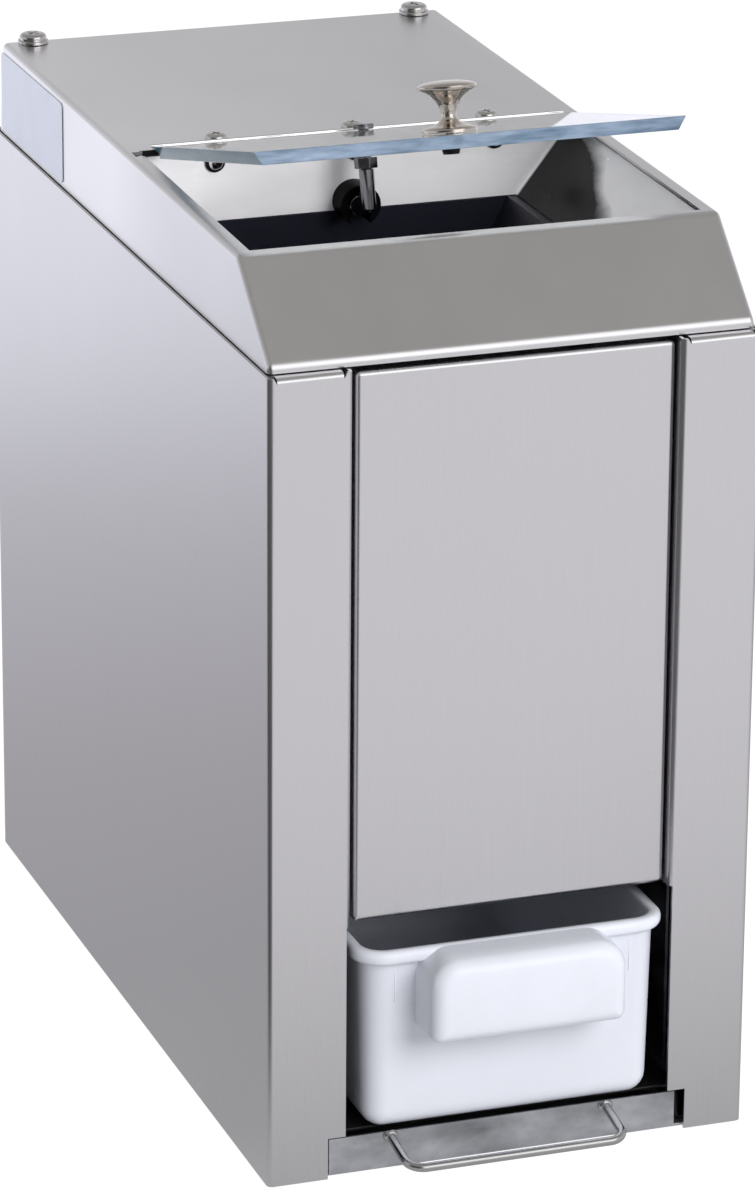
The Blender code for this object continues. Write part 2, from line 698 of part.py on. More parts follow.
def make_hood():
    """Top cover: slanted front over a bent lip, gently rising top with the mouth, straight sides and back."""
    base = BODY_HEIGHT + HOOD_LIFT
    profile = ((HOOD_FRONT, base), (HOOD_FRONT, base + HOOD_LIP), (HOOD_RIDGE_Y, BODY_HEIGHT + HOOD_RIDGE),
               (HOOD_REAR_TOP_Y, BODY_HEIGHT + HOOD_REAR), (HOOD_BACK_Y, base))
    shape = extruded_shape([(-HOOD_HALF, y, z) for y, z in profile], (2 * HOOD_HALF, 0, 0))
    under = [f for f in shape.faces if f.normal.z < -FACING_SHARE]
    bmesh.ops.delete(shape, geom=under, context="FACES_ONLY")
    round_folds(shape)
    hood = add("top_hood", mesh_from(shape, "top_hood"), STEEL)
    thicken(hood, SHEET)
    middle = (MOUTH_FRONT + MOUTH_BACK) / 2
    length = (MOUTH_BACK - MOUTH_FRONT) / 2
    spot = (0, middle, hood_top(middle))
    tilt = (HOOD_SLOPE, 0, 0)
    mouth = block("mouth", (-MOUTH_HALF, -length, -OVERRUN), (MOUTH_HALF, length, OVERRUN),
                  place=spot, turn=tilt)
    below = block("hood_trim", (-HALF_WIDTH, 0, BODY_HEIGHT - OVERRUN), (HALF_WIDTH, BODY_DEPTH, base))
    cut(hood, mouth, below)
    half = HOOD_HALF - HOOD_RELIEF
    join(hood, block("hood_return", (-half, HOOD_FRONT + SHEET / 2, base),
                     (half, HOOD_FRONT + HOOD_RETURN, base + SHEET)))
    for s in (-1, 1):
        left, right = sorted((s * (MOUTH_HALF - OVERRUN), s * (MOUTH_HALF + PIN_NOTCH_REACH)))
        hinge = length - HINGE_BACK
        reach = PIN_NOTCH_LENGTH / 2
        cut(hood, block("pin_notch", (left, hinge - reach, -OVERRUN), (right, hinge + reach, OVERRUN),
                        place=spot, turn=tilt))
    return hood


def make_hopper():
    """Open funnel under the mouth, with a flange under the hood behind its straight back wall."""
    top_half = MOUTH_HALF + HOPPER_MARGIN
    top_front = MOUTH_FRONT - HOPPER_MARGIN
    top_back = HOPPER_WALL
    low = (-top_half, top_front, HOPPER_BOTTOM)
    shape = block_shape(low, (top_half, top_back, hood_top(top_back)))
    for v in shape.verts:
        at_back = v.co.y > (top_front + top_back) / 2
        if v.co.z > HOPPER_BOTTOM + OVERRUN:
            v.co.z = hood_top(v.co.y) - SHEET - HOPPER_DROP
        else:
            v.co.x = math.copysign(HOPPER_BOTTOM_HALF, v.co.x)
            v.co.y = top_back if at_back else HOPPER_BOTTOM_FRONT
    shape.normal_update()
    ends = [f for f in shape.faces if abs(f.normal.z) > FACING_SHARE]
    bmesh.ops.delete(shape, geom=ends, context="FACES_ONLY")
    hopper = add("hopper", mesh_from(shape, "hopper"), STEEL)
    thicken(hopper, -HOPPER_SHEET)
    return hopper


def finish_hopper(hopper):
    top_half = MOUTH_HALF + HOPPER_MARGIN
    top_back = HOPPER_WALL
    level = hood_top(top_back) - SHEET - HOPPER_DROP
    inner = top_half - HOPPER_SHEET
    flange = block("hopper_flange", (-inner, top_back + HOPPER_SHEET / 2, level - HOPPER_SHEET),
                   (inner, top_back + HOPPER_FLANGE, level))
    join(hopper, flange)
    below = block("hopper_trim", (-HALF_WIDTH, 0, HOPPER_BOTTOM - HOPPER_FLANGE),
                  (HALF_WIDTH, BODY_DEPTH, HOPPER_BOTTOM))
    cut(hopper, below)
    bore = cylinder("plunger_hole", PLUNGER_RADIUS + GAP, top_back - OVERRUN, top_back + OVERRUN,
                    x=ROD_X, z=GUARD_Z)
    cut(hopper, bore)
    for s in (-1, 0, 1):
        cut(hopper, cylinder("wall_screw_hole", SHANK_RADIUS + GAP, top_back - OVERRUN, top_back + OVERRUN,
                             x=s * WALL_SCREW_X, z=WALL_SCREW_Z, steps=SCREW_STEPS))
        cut(hopper, screw_hole(s * TOP_SCREW_X, TOP_SCREW_Y, level))


def screw_hole(x, y, level):
    """Upright hole for a screw's shank through sheet at a level."""
    radius = SHANK_RADIUS + GAP
    profile = ((0, OVERRUN), (radius, OVERRUN), (radius, -OVERRUN), (0, -OVERRUN))
    return turned("screw_hole", profile, place=(x, y, level))


def pan_screw(name, radius, height, place, turn, washer=0):
    """A domed head on a short shank, with a washer under it when one is wanted."""
    foot = GAP + (WASHER_HEIGHT if washer else 0)
    profile = [(radius * across, foot + height * up) for across, up in PAN_SHARES]
    profile.append((radius, foot))
    if washer:
        profile += [(washer, foot), (washer, GAP)]
    profile += [(SHANK_RADIUS, GAP), (SHANK_RADIUS, -SHANK_LENGTH), (0, -SHANK_LENGTH)]
    return turned(name, profile, HARD_STEEL, place=place, turn=turn)


def make_hood_screws(hood):
    """Screws behind the mouth, washer screws at the rear corners, and those in the hopper's back wall."""
    names = ("left", "middle", "right")
    tilt = (HOOD_SLOPE, 0, 0)
    level = hood_top(TOP_SCREW_Y)
    for name, s in zip(names, (-1, 0, 1)):
        x = s * TOP_SCREW_X
        cut(hood, screw_hole(x, TOP_SCREW_Y, level))
        pan_screw("hood_front_screw_" + name, PAN_RADIUS, PAN_HEIGHT, (x, TOP_SCREW_Y, level), tilt)
        pan_screw("hopper_screw_" + name, WALL_SCREW_RADIUS, WALL_SCREW_HEIGHT,
                  (s * WALL_SCREW_X, HOPPER_WALL, WALL_SCREW_Z), (QUARTER_TURN, 0, 0))
    level = hood_top(REAR_SCREW_Y)
    for name, x in (("left", -REAR_SCREW_X), ("right", REAR_SCREW_X)):
        cut(hood, screw_hole(x, REAR_SCREW_Y, level))
        pan_screw("hood_rear_screw_" + name, REAR_SCREW_RADIUS, REAR_SCREW_HEIGHT, (x, REAR_SCREW_Y, level),
                  tilt, WASHER_RADIUS)


# Crushing chamber

def trough_outline(grow):
    """Cavity outline: wide at the top, narrowing to a half round under the axis."""
    points = [(-CHAMBER_HALF, CHAMBER_TOP + grow), (CHAMBER_HALF, CHAMBER_TOP + grow)]
    points.append((TROUGH_RADIUS, CHAMBER_SHOULDER))
    for i in range(TROUGH_STEPS + 1):
        angle = -math.pi * i / TROUGH_STEPS
        points.append((TROUGH_RADIUS * math.cos(angle), AXIS_Z + TROUGH_RADIUS * math.sin(angle)))
    points.append((-TROUGH_RADIUS, CHAMBER_SHOULDER))
    return points


def make_chamber():
    half = CHAMBER_HALF + CHAMBER_WALL
    outer = [(-half, CHAMBER_TOP), (half, CHAMBER_TOP), (half, CHAMBER_TOP - 2 * CHAMBER_WALL),
             (BLOCK_HALF, CHAMBER_SHOULDER - CHAMBER_WALL), (BLOCK_HALF, CHAMBER_BOTTOM),
             (-BLOCK_HALF, CHAMBER_BOTTOM), (-BLOCK_HALF, CHAMBER_SHOULDER - CHAMBER_WALL),
             (-half, CHAMBER_TOP - 2 * CHAMBER_WALL)]
    front = CHAMBER_FRONT - CHAMBER_WALL
    back = CHAMBER_BACK + CHAMBER_WALL
    housing = prism("crusher_housing", outer, front, back, BLACK)
    cavity = prism("chamber_cavity", trough_outline(OVERRUN), CHAMBER_FRONT, CHAMBER_BACK)
    outlet = block("chamber_outlet", (-OUTLET_HALF, CHAMBER_FRONT + OVERRUN, CHAMBER_BOTTOM - OVERRUN),
                   (OUTLET_HALF, CHAMBER_BACK - OVERRUN, AXIS_Z))
    bore = cylinder("bearing_bore", BEARING_RADIUS + GAP, front - OVERRUN, back + OVERRUN, z=AXIS_Z)
    first = AXIS_Y - comb_half_length() - GAP
    last = AXIS_Y + comb_half_length() + GAP
    slot = block("comb_slot", (TROUGH_RADIUS - OVERRUN, first, AXIS_Z - COMB_THICKNESS / 2 - GAP),
                 (BLOCK_HALF + OVERRUN, last, AXIS_Z + COMB_THICKNESS / 2 + GAP))
    behind = HOPPER_WALL + HOPPER_SHEET
    reach = SWITCH_BODY_HALF + GAP
    relief = block("switch_relief", (ROD_X - reach, behind, GUARD_Z - SWITCH_BODY_HEIGHT / 2 - GAP),
                   (ROD_X + reach, back + OVERRUN, CHAMBER_TOP + OVERRUN))
    cut(housing, cavity, outlet, bore, slot, relief)


def comb_half_length():
    return (BLADE_COUNT - 1) * BLADE_PITCH / 2 - BLADE_PITCH / 2 + COMB_FINGER / 2 + COMB_MARGIN


def make_comb():
    """Spine bolted through the housing's wall, with a finger between each two blades."""
    top = AXIS_Z + COMB_THICKNESS / 2
    low = AXIS_Z - COMB_THICKNESS / 2
    half = comb_half_length()
    comb = block("comb_plate", (COMB_SPINE, AXIS_Y - half, low), (COMB_BACK, AXIS_Y + half, top), HARD_STEEL)
    for i in range(BLADE_COUNT - 1):
        y = AXIS_Y + (i - (BLADE_COUNT - 2) / 2) * BLADE_PITCH
        finger = block("comb_finger", (COMB_TIP, y - COMB_FINGER / 2, low),
                       (COMB_SPINE + OVERRUN, y + COMB_FINGER / 2, top))
        for v in finger.data.vertices:
            if v.co.x < (COMB_TIP + COMB_SPINE) / 2:
                v.co.z = AXIS_Z + (v.co.z - AXIS_Z) / 2
        join(comb, finger)


def make_bearings():
    for name, face, s in (("front_bearing", CHAMBER_FRONT - CHAMBER_WALL, -1),
                          ("rear_bearing", CHAMBER_BACK + CHAMBER_WALL, 1)):
        inner = SHAFT_RADIUS + GAP
        profile = ((inner, BEARING_FLANGE + GAP), (BEARING_FLANGE_RADIUS, BEARING_FLANGE + GAP),
                   (BEARING_FLANGE_RADIUS, GAP), (BEARING_RADIUS, GAP), (BEARING_RADIUS, -CHAMBER_WALL),
                   (inner, -CHAMBER_WALL))
        turned(name, profile, HARD_STEEL, place=(0, face, AXIS_Z), turn=(-s * QUARTER_TURN, 0, 0),
               steps=ROUND_STEPS)


def blade_outline(twist):
    """Hooked claws round a hub, counted round from the shaft's axis."""
    points = []
    sector = 2 * math.pi / CLAW_COUNT
    for claw in range(CLAW_COUNT):
        for angle_share, radius_share in zip(CLAW_ANGLE_SHARES, CLAW_RADIUS_SHARES):
            angle = twist + sector * (claw + angle_share)
            radius = BLADE_TIP * radius_share
            points.append((radius * math.cos(angle), radius * math.sin(angle)))
    return points


def make_rotor():
    """Hexagonal shaft with round journals, and five claw blades threaded on it."""
    place = (0, 0, AXIS_Z)
    hex_front = AXIS_Y - BLADE_COUNT * BLADE_PITCH / 2
    hex_back = AXIS_Y + BLADE_COUNT * BLADE_PITCH / 2
    start = CHAMBER_FRONT - CHAMBER_WALL - BEARING_FLANGE - SHAFT_END
    end = CHAMBER_BACK + CHAMBER_WALL + SHAFT_TAIL
    shaft = cylinder("rotor_shaft", SHAFT_RADIUS, start, end, HARD_STEEL, place=place,
                     steps=SMALL_ROUND_STEPS)
    body = cylinder("shaft_hexagon", HEX_RADIUS, hex_front, hex_back, place=place, steps=HEX_SIDES)
    join(shaft, body)
    for i in range(BLADE_COUNT):
        y = AXIS_Y + (i - (BLADE_COUNT - 1) / 2) * BLADE_PITCH
        twist = i * CLAW_TWIST
        spot = (0, y, AXIS_Z)
        plate = BLADE_THICKNESS / 2
        name = "rotor_blade_" + str(i + 1)
        blade = prism(name, blade_outline(twist), -plate, plate, HARD_STEEL, place=spot)
        reach = (BLADE_PITCH - GAP) / 2
        hub = cylinder("blade_hub", HUB_RADIUS, -reach, reach, place=spot)
        bore = cylinder("blade_bore", HEX_RADIUS + GAP, -BLADE_PITCH, BLADE_PITCH, place=spot,
                        steps=HEX_SIDES)
        join(blade, hub)
        cut(blade, bore)


# Bridge, chute and drive

def make_bridge():
    """Inverted channel on the base pan that carries the chamber and the drive."""
    foot = SHEET + GAP
    half = BRIDGE_HALF
    outline = ((-half, foot), (-half, BRIDGE_TOP), (half, BRIDGE_TOP), (half, foot))
    bridge = folded("chassis_bridge", outline, BRIDGE_FRONT, BRIDGE_BACK, ZINC)
    play = CHUTE_FLANGE / 2
    window = block("bridge_window", (-CHUTE_HALF - play, CHUTE_FRONT - play, BRIDGE_TOP - OVERRUN),
                   (CHUTE_HALF + play, CHUTE_BACK + play, BRIDGE_TOP + OVERRUN))
    cut(bridge, window)


def make_chute():
    """Square duct from the chamber's outlet to just above the bin."""
    shape = block_shape((-CHUTE_HALF, CHUTE_FRONT, CHUTE_BOTTOM),
                        (CHUTE_HALF, CHUTE_BACK, CHUTE_TOP - SHEET / 2))
    ends = [f for f in shape.faces if abs(f.normal.z) > FACING_SHARE]
    bmesh.ops.delete(shape, geom=ends, context="FACES_ONLY")
    chute = add("ice_chute", mesh_from(shape, "ice_chute"), STEEL)
    thicken(chute, -SHEET)
    half = CHUTE_HALF + CHUTE_FLANGE
    flange = block("chute_flange", (-half, CHUTE_FRONT - CHUTE_FLANGE, CHUTE_TOP - SHEET),
                   (half, CHUTE_BACK + CHUTE_FLANGE, CHUTE_TOP))
    way = block("chute_way", (-CHUTE_HALF, CHUTE_FRONT, CHUTE_BOTTOM - OVERRUN),
                (CHUTE_HALF, CHUTE_BACK, CHUTE_TOP + OVERRUN))
    join(chute, flange)
    cut(chute, way)


def make_drive():
    """Gearbox with a hollow shaft on the rotor's tail, and the motor behind it."""
    low = BRIDGE_TOP + GAP
    back = GEARBOX_FRONT + GEARBOX_LENGTH
    shape = block_shape((-GEARBOX_HALF, GEARBOX_FRONT, low), (GEARBOX_HALF, back, GEARBOX_TOP))
    round_edges(shape, edges_along(shape, 1), GEARBOX_EDGE, BEND_STEPS)
    gearbox = add("gearbox", mesh_from(shape, "gearbox"), GREY)
    cut(gearbox, cylinder("gearbox_bore", SHAFT_RADIUS + GAP, GEARBOX_FRONT - OVERRUN,
                          GEARBOX_FRONT + GEARBOX_BORE_DEPTH, z=AXIS_Z))
    stack = MOTOR_RADIUS - MOTOR_STACK_STEP
    round_end = MOTOR_LENGTH * MOTOR_BELL_SHARE
    seat = MOTOR_LENGTH * MOTOR_SEAT_SHARE
    profile = ((0, MOTOR_LENGTH), (MOTOR_BELL, MOTOR_LENGTH),
               (MOTOR_RADIUS, MOTOR_LENGTH - round_end), (MOTOR_RADIUS, MOTOR_LENGTH - seat),
               (stack, MOTOR_LENGTH - seat), (stack, seat), (MOTOR_RADIUS, seat),
               (MOTOR_RADIUS, round_end), (MOTOR_BELL, 0), (0, 0))
    motor = turned("motor", profile, GREY, place=(0, MOTOR_FRONT, AXIS_Z), turn=(-QUARTER_TURN, 0, 0),
                   steps=MOTOR_STEPS)
    end = MOTOR_FRONT + MOTOR_LENGTH - MOTOR_FOOT_MARGIN
    foot = block("motor_foot", (-MOTOR_FOOT_HALF, MOTOR_FRONT + MOTOR_FOOT_MARGIN, low),
                 (MOTOR_FOOT_HALF, end, AXIS_Z - MOTOR_RADIUS / 2))
    middle = MOTOR_FRONT + MOTOR_LENGTH / 2
    reach = MOTOR_LENGTH * TERMINAL_BOX_SHARE
    box = block("terminal_box", (-TERMINAL_BOX_HALF, middle - reach, AXIS_Z),
                (TERMINAL_BOX_HALF, middle + reach, AXIS_Z + MOTOR_RADIUS + TERMINAL_BOX_RISE))
    join(motor, foot, box)


# Interlock

def make_interlock():
    """C-shaped guard round a spring plunger that the lid's rod meets, and the switch behind the wall."""
    spot = (ROD_X, HOPPER_WALL, GUARD_Z)
    guard = cylinder("switch_guard", GUARD_OUTER, -GUARD_DEPTH, -GAP, BLACK, place=spot)
    bore = cylinder("guard_bore", GUARD_INNER, -GUARD_DEPTH - OVERRUN, OVERRUN, place=spot)
    slot = block("guard_slot", (-GUARD_SLOT, -GUARD_DEPTH - OVERRUN, -GUARD_OUTER - OVERRUN),
                 (GUARD_SLOT, OVERRUN, 0), place=spot)
    cut(guard, bore, slot)
    back = HOPPER_SHEET + GAP
    body = block("interlock_switch", (-SWITCH_BODY_HALF, back, -SWITCH_BODY_HEIGHT / 2),
                 (SWITCH_BODY_HALF, back + SWITCH_BODY_DEPTH, SWITCH_BODY_HEIGHT / 2), BLACK, place=spot)
    cut(body, cylinder("switch_bore", PLUNGER_RADIUS + GAP, 0, back + SWITCH_BORE_DEPTH, place=spot))
    tip = GUARD_DEPTH - GAP
    neck = tip - PLUNGER_HEAD_LENGTH
    profile = ((0, tip), (PLUNGER_HEAD, tip), (PLUNGER_HEAD, neck), (PLUNGER_RADIUS, neck),
               (PLUNGER_RADIUS, -PLUNGER_BACK), (0, -PLUNGER_BACK))
    turned("switch_plunger", profile, HARD_STEEL, place=spot, turn=(QUARTER_TURN, 0, 0))


# Lid

def hinge_point():
    y = MOUTH_BACK - HINGE_BACK
    return Vector((LID_SIDE_PLAY, y, hood_top(y) + LID_PROUD - LID_THICKNESS / 2))


def make_lid():
    """Clear plate with bevelled sides, on an empty that lies on the hinge axis and holds its tilt."""
    hinge = bpy.data.objects.new("lid_axis", None)
    hinge.location = hinge_point()
    hinge.rotation_euler = (-LID_TILT, 0, 0)
    hinge.parent = CARRIER
    PARTS.objects.link(hinge)
    half = LID_THICKNESS / 2
    shape = block_shape((-LID_HALF, HINGE_SETBACK - LID_LENGTH, -half), (LID_HALF, HINGE_SETBACK, half))
    for v in shape.verts:
        if v.co.z < 0:
            v.co.x -= math.copysign(LID_BEVEL, v.co.x)
    lid = add("lid", mesh_from(shape, "lid"), CLEAR, parent=hinge)
    knob_y = HINGE_SETBACK - KNOB_FROM_EDGE
    rod_y = HINGE_SETBACK - ROD_FROM_EDGE
    for x, y, r in ((0, knob_y, KNOB_HOLE), (ROD_X - LID_SIDE_PLAY, rod_y, ROD_STUD + GAP)):
        profile = ((0, half + OVERRUN), (r, half + OVERRUN), (r, -half - OVERRUN), (0, -half - OVERRUN))
        cut(lid, turned("lid_hole", profile, place=(x, y, 0), parent=hinge))
    make_knob(hinge, knob_y, half)
    make_rod(hinge, rod_y, half)
    length = HINGE_PIN_IN + HINGE_PIN_OUT
    pin = ((0, length), (HINGE_PIN_RADIUS, length), (HINGE_PIN_RADIUS, 0), (0, 0))
    socket = ((0, length), (HINGE_PIN_RADIUS + GAP, length), (HINGE_PIN_RADIUS + GAP, -GAP), (0, -GAP))
    for name, s in (("left", -1), ("right", 1)):
        options = {"place": (s * (LID_HALF - LID_BEVEL / 2 - HINGE_PIN_IN), 0, 0),
                   "turn": (0, s * QUARTER_TURN, 0), "parent": hinge, "steps": PIN_STEPS}
        turned("lid_pin_" + name, pin, HARD_STEEL, **options)
        cut(lid, turned("pin_socket", socket, **options))


def knob_profile(half):
    """Mushroom knob, from the crown down its outer side to the base."""
    foot = half + GAP
    profile = [(KNOB_RADIUS * across, foot + KNOB_HEIGHT * up) for across, up in KNOB_SHARES]
    return profile + [(KNOB_BASE_RADIUS, foot + KNOB_HEIGHT * KNOB_FOOT_SHARE), (KNOB_BASE_RADIUS, foot)]


def make_knob(hinge, y, half):
    bore = KNOB_SCREW_SHANK + GAP
    depth = KNOB_SCREW_LENGTH - LID_THICKNESS
    profile = knob_profile(half) + [(bore, half + GAP), (bore, half + depth + GAP), (0, half + depth + GAP)]
    turned("lid_knob", profile, NICKEL, place=(0, y, 0), parent=hinge, steps=KNOB_STEPS)
    under = -half - GAP
    end = half + depth
    screw = ((0, end), (KNOB_SCREW_SHANK, end), (KNOB_SCREW_SHANK, under), (KNOB_SCREW_HEAD, under),
             (KNOB_SCREW_HEAD - KNOB_SCREW_TAPER, under - KNOB_SCREW_HEIGHT), (0, under - KNOB_SCREW_HEIGHT))
    turned("knob_screw", screw, HARD_STEEL, place=(0, y, 0), parent=hinge)


def make_rod(hinge, y, half):
    """Rod screwed up into the lid, with a nut under the plate; it closes the interlock."""
    spot = (ROD_X - LID_SIDE_PLAY, y, 0)
    tip = -half - ROD_LENGTH
    top = half + ROD_HEAD_HEIGHT + GAP
    nut_top = -half - NUT_DROP
    nut_low = nut_top - NUT_HEIGHT
    profile = ((0, top), (ROD_HEAD, top), (ROD_HEAD, half + GAP), (ROD_STUD, half + GAP),
               (ROD_STUD, nut_low - GAP), (ROD_RADIUS, nut_low - GAP), (ROD_RADIUS, tip + ROD_TIP_TAPER),
               (ROD_RADIUS - ROD_TIP_TAPER, tip), (0, tip))
    turned("interlock_rod", profile, HARD_STEEL, place=spot, parent=hinge)
    shape = bmesh.new()
    bmesh.ops.create_cone(shape, cap_ends=True, segments=HEX_SIDES, radius1=NUT_RADIUS, radius2=NUT_RADIUS,
                          depth=NUT_HEIGHT, matrix=Matrix.Translation((0, 0, (nut_top + nut_low) / 2)))
    nut = add("interlock_nut", mesh_from(shape, "interlock_nut"), HARD_STEEL, place=spot, parent=hinge)
    bore = ROD_STUD + GAP
    hole = ((0, 0), (bore, 0), (bore, nut_low - OVERRUN), (0, nut_low - OVERRUN))
    cut(nut, turned("nut_bore", hole, place=spot, parent=hinge))
    under = -half - GAP
    ring = ((bore, under), (ROD_RADIUS, under), (ROD_RADIUS, nut_top + GAP), (bore, nut_top + GAP))
    turned("interlock_spacer", ring, HARD_STEEL, place=spot, parent=hinge)


# Ice bin and drip tray

def rounded_tub(name, half, front, back, low, high, taper, corner, foot, look=None):
    """Upright box with rounded corners; its lower end is drawn in by the taper."""
    shape = block_shape((-half, front, low), (half, back, high))
    middle = (front + back) / 2
    for v in shape.verts:
        if v.co.z < (low + high) / 2:
            v.co.x -= math.copysign(taper, v.co.x)
            v.co.y -= math.copysign(taper, v.co.y - middle)
    round_edges(shape, edges_along(shape, 2), corner, BIN_CORNER_STEPS)
    if foot:
        rim = [e for e in shape.edges if all(abs(v.co.z - low) < MERGE for v in e.verts)]
        round_edges(shape, rim, foot, BEND_STEPS)
    return add(name, mesh_from(shape, name), look)


def make_ice_bin():
    """Moulded tub with a bead round its rim and a hollow cup handle that is open below."""
    top = BIN_BOTTOM + BIN_HEIGHT
    back = BIN_FRONT + BIN_LENGTH
    tub = rounded_tub("ice_bin", BIN_HALF, BIN_FRONT, back, BIN_BOTTOM, top, BIN_TAPER, BIN_CORNER,
                      BIN_FOOT_RADIUS, WHITE)
    rim = rounded_tub("bin_rim", BIN_HALF + BIN_RIM, BIN_FRONT - BIN_RIM, back + BIN_RIM,
                      top - BIN_RIM_HEIGHT, top, 0, BIN_CORNER + BIN_RIM, BIN_RIM_CHAMFER)
    cup_top = top - CUP_DROP
    face = BIN_FRONT - CUP_REACH
    shape = block_shape((-CUP_HALF, face, cup_top - CUP_HEIGHT),
                        (CUP_HALF, BIN_FRONT + BIN_WALL / 2, cup_top))
    corners = [e for e in edges_along(shape, 1) if all(v.co.z > cup_top - MERGE for v in e.verts)]
    round_edges(shape, corners, CUP_CORNER, CUP_STEPS)
    ring = [e for e in shape.edges if all(v.co.y < face + MERGE for v in e.verts)
            and any(v.co.z > cup_top - CUP_HEIGHT + MERGE for v in e.verts)]
    round_edges(shape, ring, CUP_EDGE, CUP_STEPS)
    cup = add("bin_cup", mesh_from(shape, "bin_cup"))
    inside = rounded_tub("bin_inside", BIN_HALF - BIN_WALL, BIN_FRONT + BIN_WALL, back - BIN_WALL,
                         BIN_BOTTOM + BIN_WALL, top + OVERRUN, BIN_TAPER, BIN_CORNER - BIN_WALL,
                         BIN_FOOT_RADIUS - BIN_WALL)
    shape = block_shape((-CUP_HALF + BIN_WALL, face + BIN_WALL, cup_top - CUP_HEIGHT - OVERRUN),
                        (CUP_HALF - BIN_WALL, BIN_FRONT - GAP, cup_top - BIN_WALL))
    corners = [e for e in edges_along(shape, 1) if all(v.co.z > cup_top - 2 * BIN_WALL for v in e.verts)]
    round_edges(shape, corners, CUP_CORNER - BIN_WALL, CUP_STEPS)
    finger = add("cup_inside", mesh_from(shape, "cup_inside"))
    join(tub, rim, cup)
    cut(tub, inside, finger)


def make_shelf():
    """Slotted sheet under the bin, resting on the two tray rails."""
    low = SHELF_TOP - SHEET
    shelf = block("bin_shelf", (-SHELF_HALF, SHELF_FRONT, low), (SHELF_HALF, SHELF_BACK, SHELF_TOP), STEEL)
    middle = (SHELF_FRONT + SHELF_BACK) / 2
    for i in range(SHELF_SLOT_COUNT):
        y = middle + (i - (SHELF_SLOT_COUNT - 1) / 2) * SHELF_SLOT_PITCH
        slot = block("shelf_slot", (-SHELF_SLOT_LENGTH / 2, y - SHELF_SLOT_WIDTH / 2, low - OVERRUN),
                     (SHELF_SLOT_LENGTH / 2, y + SHELF_SLOT_WIDTH / 2, SHELF_TOP + OVERRUN))
        cut(shelf, slot)


def make_rails():
    """Angle rails on the base pan that guide the tray."""
    top = SHELF_TOP - SHEET - GAP
    low = SHEET + GAP
    for name, s in (("left", -1), ("right", 1)):
        outline = ((s * RAIL_X, top), (s * RAIL_X, low), (s * (RAIL_X + RAIL_FOOT), low))
        folded("tray_rail_" + name, outline, RAIL_FRONT, RAIL_BACK, ZINC, side=-s)


def make_tray():
    """Folded tray with a taller front plate."""
    low = SHEET + GAP
    front = PLATE_FRONT
    shape = block_shape((-TRAY_HALF, front + SHEET / 2, low), (TRAY_HALF, TRAY_BACK, TRAY_WALL_TOP))
    top = [f for f in shape.faces if f.normal.z > FACING_SHARE]
    bmesh.ops.delete(shape, geom=top, context="FACES_ONLY")
    tray = add("drip_tray", mesh_from(shape, "drip_tray"), ZINC, place=(TRAY_SHIFT, 0, 0))
    thicken(tray, SHEET)
    plate = block("tray_plate", (-PLATE_HALF, front, low), (PLATE_HALF, front + SHEET, PLATE_TOP),
                  place=(TRAY_SHIFT, 0, 0))
    join(tray, plate)


def make_bail():
    """Bent wire handle welded to the tray's front plate."""
    start = PLATE_FRONT - 2 * GAP
    along = Vector((0, -BAIL_REACH, -BAIL_DROOP))
    fall = along.normalized()
    points = []
    for s in (-1, 1):
        leg = [Vector((s * BAIL_HALF, start, 0))]
        centre = Vector((s * (BAIL_HALF - BAIL_CORNER), start, 0)) + along - fall * BAIL_CORNER
        outward = Vector((s, 0, 0))
        for i in range(BAIL_CORNER_STEPS + 1):
            angle = QUARTER_TURN * i / BAIL_CORNER_STEPS
            leg.append(centre + BAIL_CORNER * (outward * math.cos(angle) + fall * math.sin(angle)))
        points += leg if s < 0 else leg[::-1]
    curve = bpy.data.curves.new("tray_handle", "CURVE")
    curve.dimensions = "3D"
    curve.bevel_depth = BAIL_RADIUS
    curve.bevel_resolution = BAIL_RESOLUTION
    curve.use_fill_caps = True
    line = curve.splines.new("POLY")
    line.points.add(len(points) - 1)
    for target, point in zip(line.points, points):
        target.co = (*point, 1)
    curve.materials.append(STEEL)
    bail = bpy.data.objects.new("tray_handle", curve)
    bail.location = (TRAY_SHIFT + BAIL_SHIFT, 0, BAIL_WELD_Z)
    bail.parent = CARRIER
    PARTS.objects.link(bail)


def main():
    make_base_pan()
    make_feet()
    make_side_panel("left_side_panel", -1)
    make_side_panel("right_side_panel", 1)
    make_front_cover()
    make_bulkhead()
    make_rear_panel()
    make_power_switch()
    make_cable_gland()
    hood = make_hood()
    hopper = make_hopper()
    finish_hopper(hopper)
    make_hood_screws(hood)
    make_chamber()
    make_comb()
    make_bearings()
    make_rotor()
    make_bridge()
    make_chute()
    make_drive()
    make_interlock()
    make_lid()
    make_ice_bin()
    make_shelf()
    make_rails()
    make_tray()
    make_bail()


main()
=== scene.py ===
"""Looks of the countertop ice crusher: fine pieces, materials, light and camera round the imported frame.

Metres, in the frame's own place: +Z up, the front faces -Y, the floor at z = 0.
"""
import json
import math

import bmesh
import bpy
from mathutils import Matrix, Vector, noise


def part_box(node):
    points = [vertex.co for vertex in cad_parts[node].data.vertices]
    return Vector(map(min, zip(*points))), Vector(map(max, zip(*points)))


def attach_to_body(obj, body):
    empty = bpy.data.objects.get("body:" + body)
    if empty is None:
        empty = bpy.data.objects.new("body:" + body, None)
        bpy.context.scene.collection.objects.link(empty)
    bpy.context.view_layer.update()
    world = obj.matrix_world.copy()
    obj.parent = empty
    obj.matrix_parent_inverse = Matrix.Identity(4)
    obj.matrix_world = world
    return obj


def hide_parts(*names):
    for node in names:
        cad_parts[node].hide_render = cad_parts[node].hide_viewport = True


# Camera of the photograph
LENS = 0.172265
SENSOR = 0.036
CAMERA_PLACE = (-0.6990, -2.0156, 0.9297)
CAMERA_YAW = math.radians(19.335)
CAMERA_PITCH = math.radians(19.702)
CAMERA_ROLL = math.radians(0.402)
CLIP_NEAR = 0.05
CLIP_FAR = 50

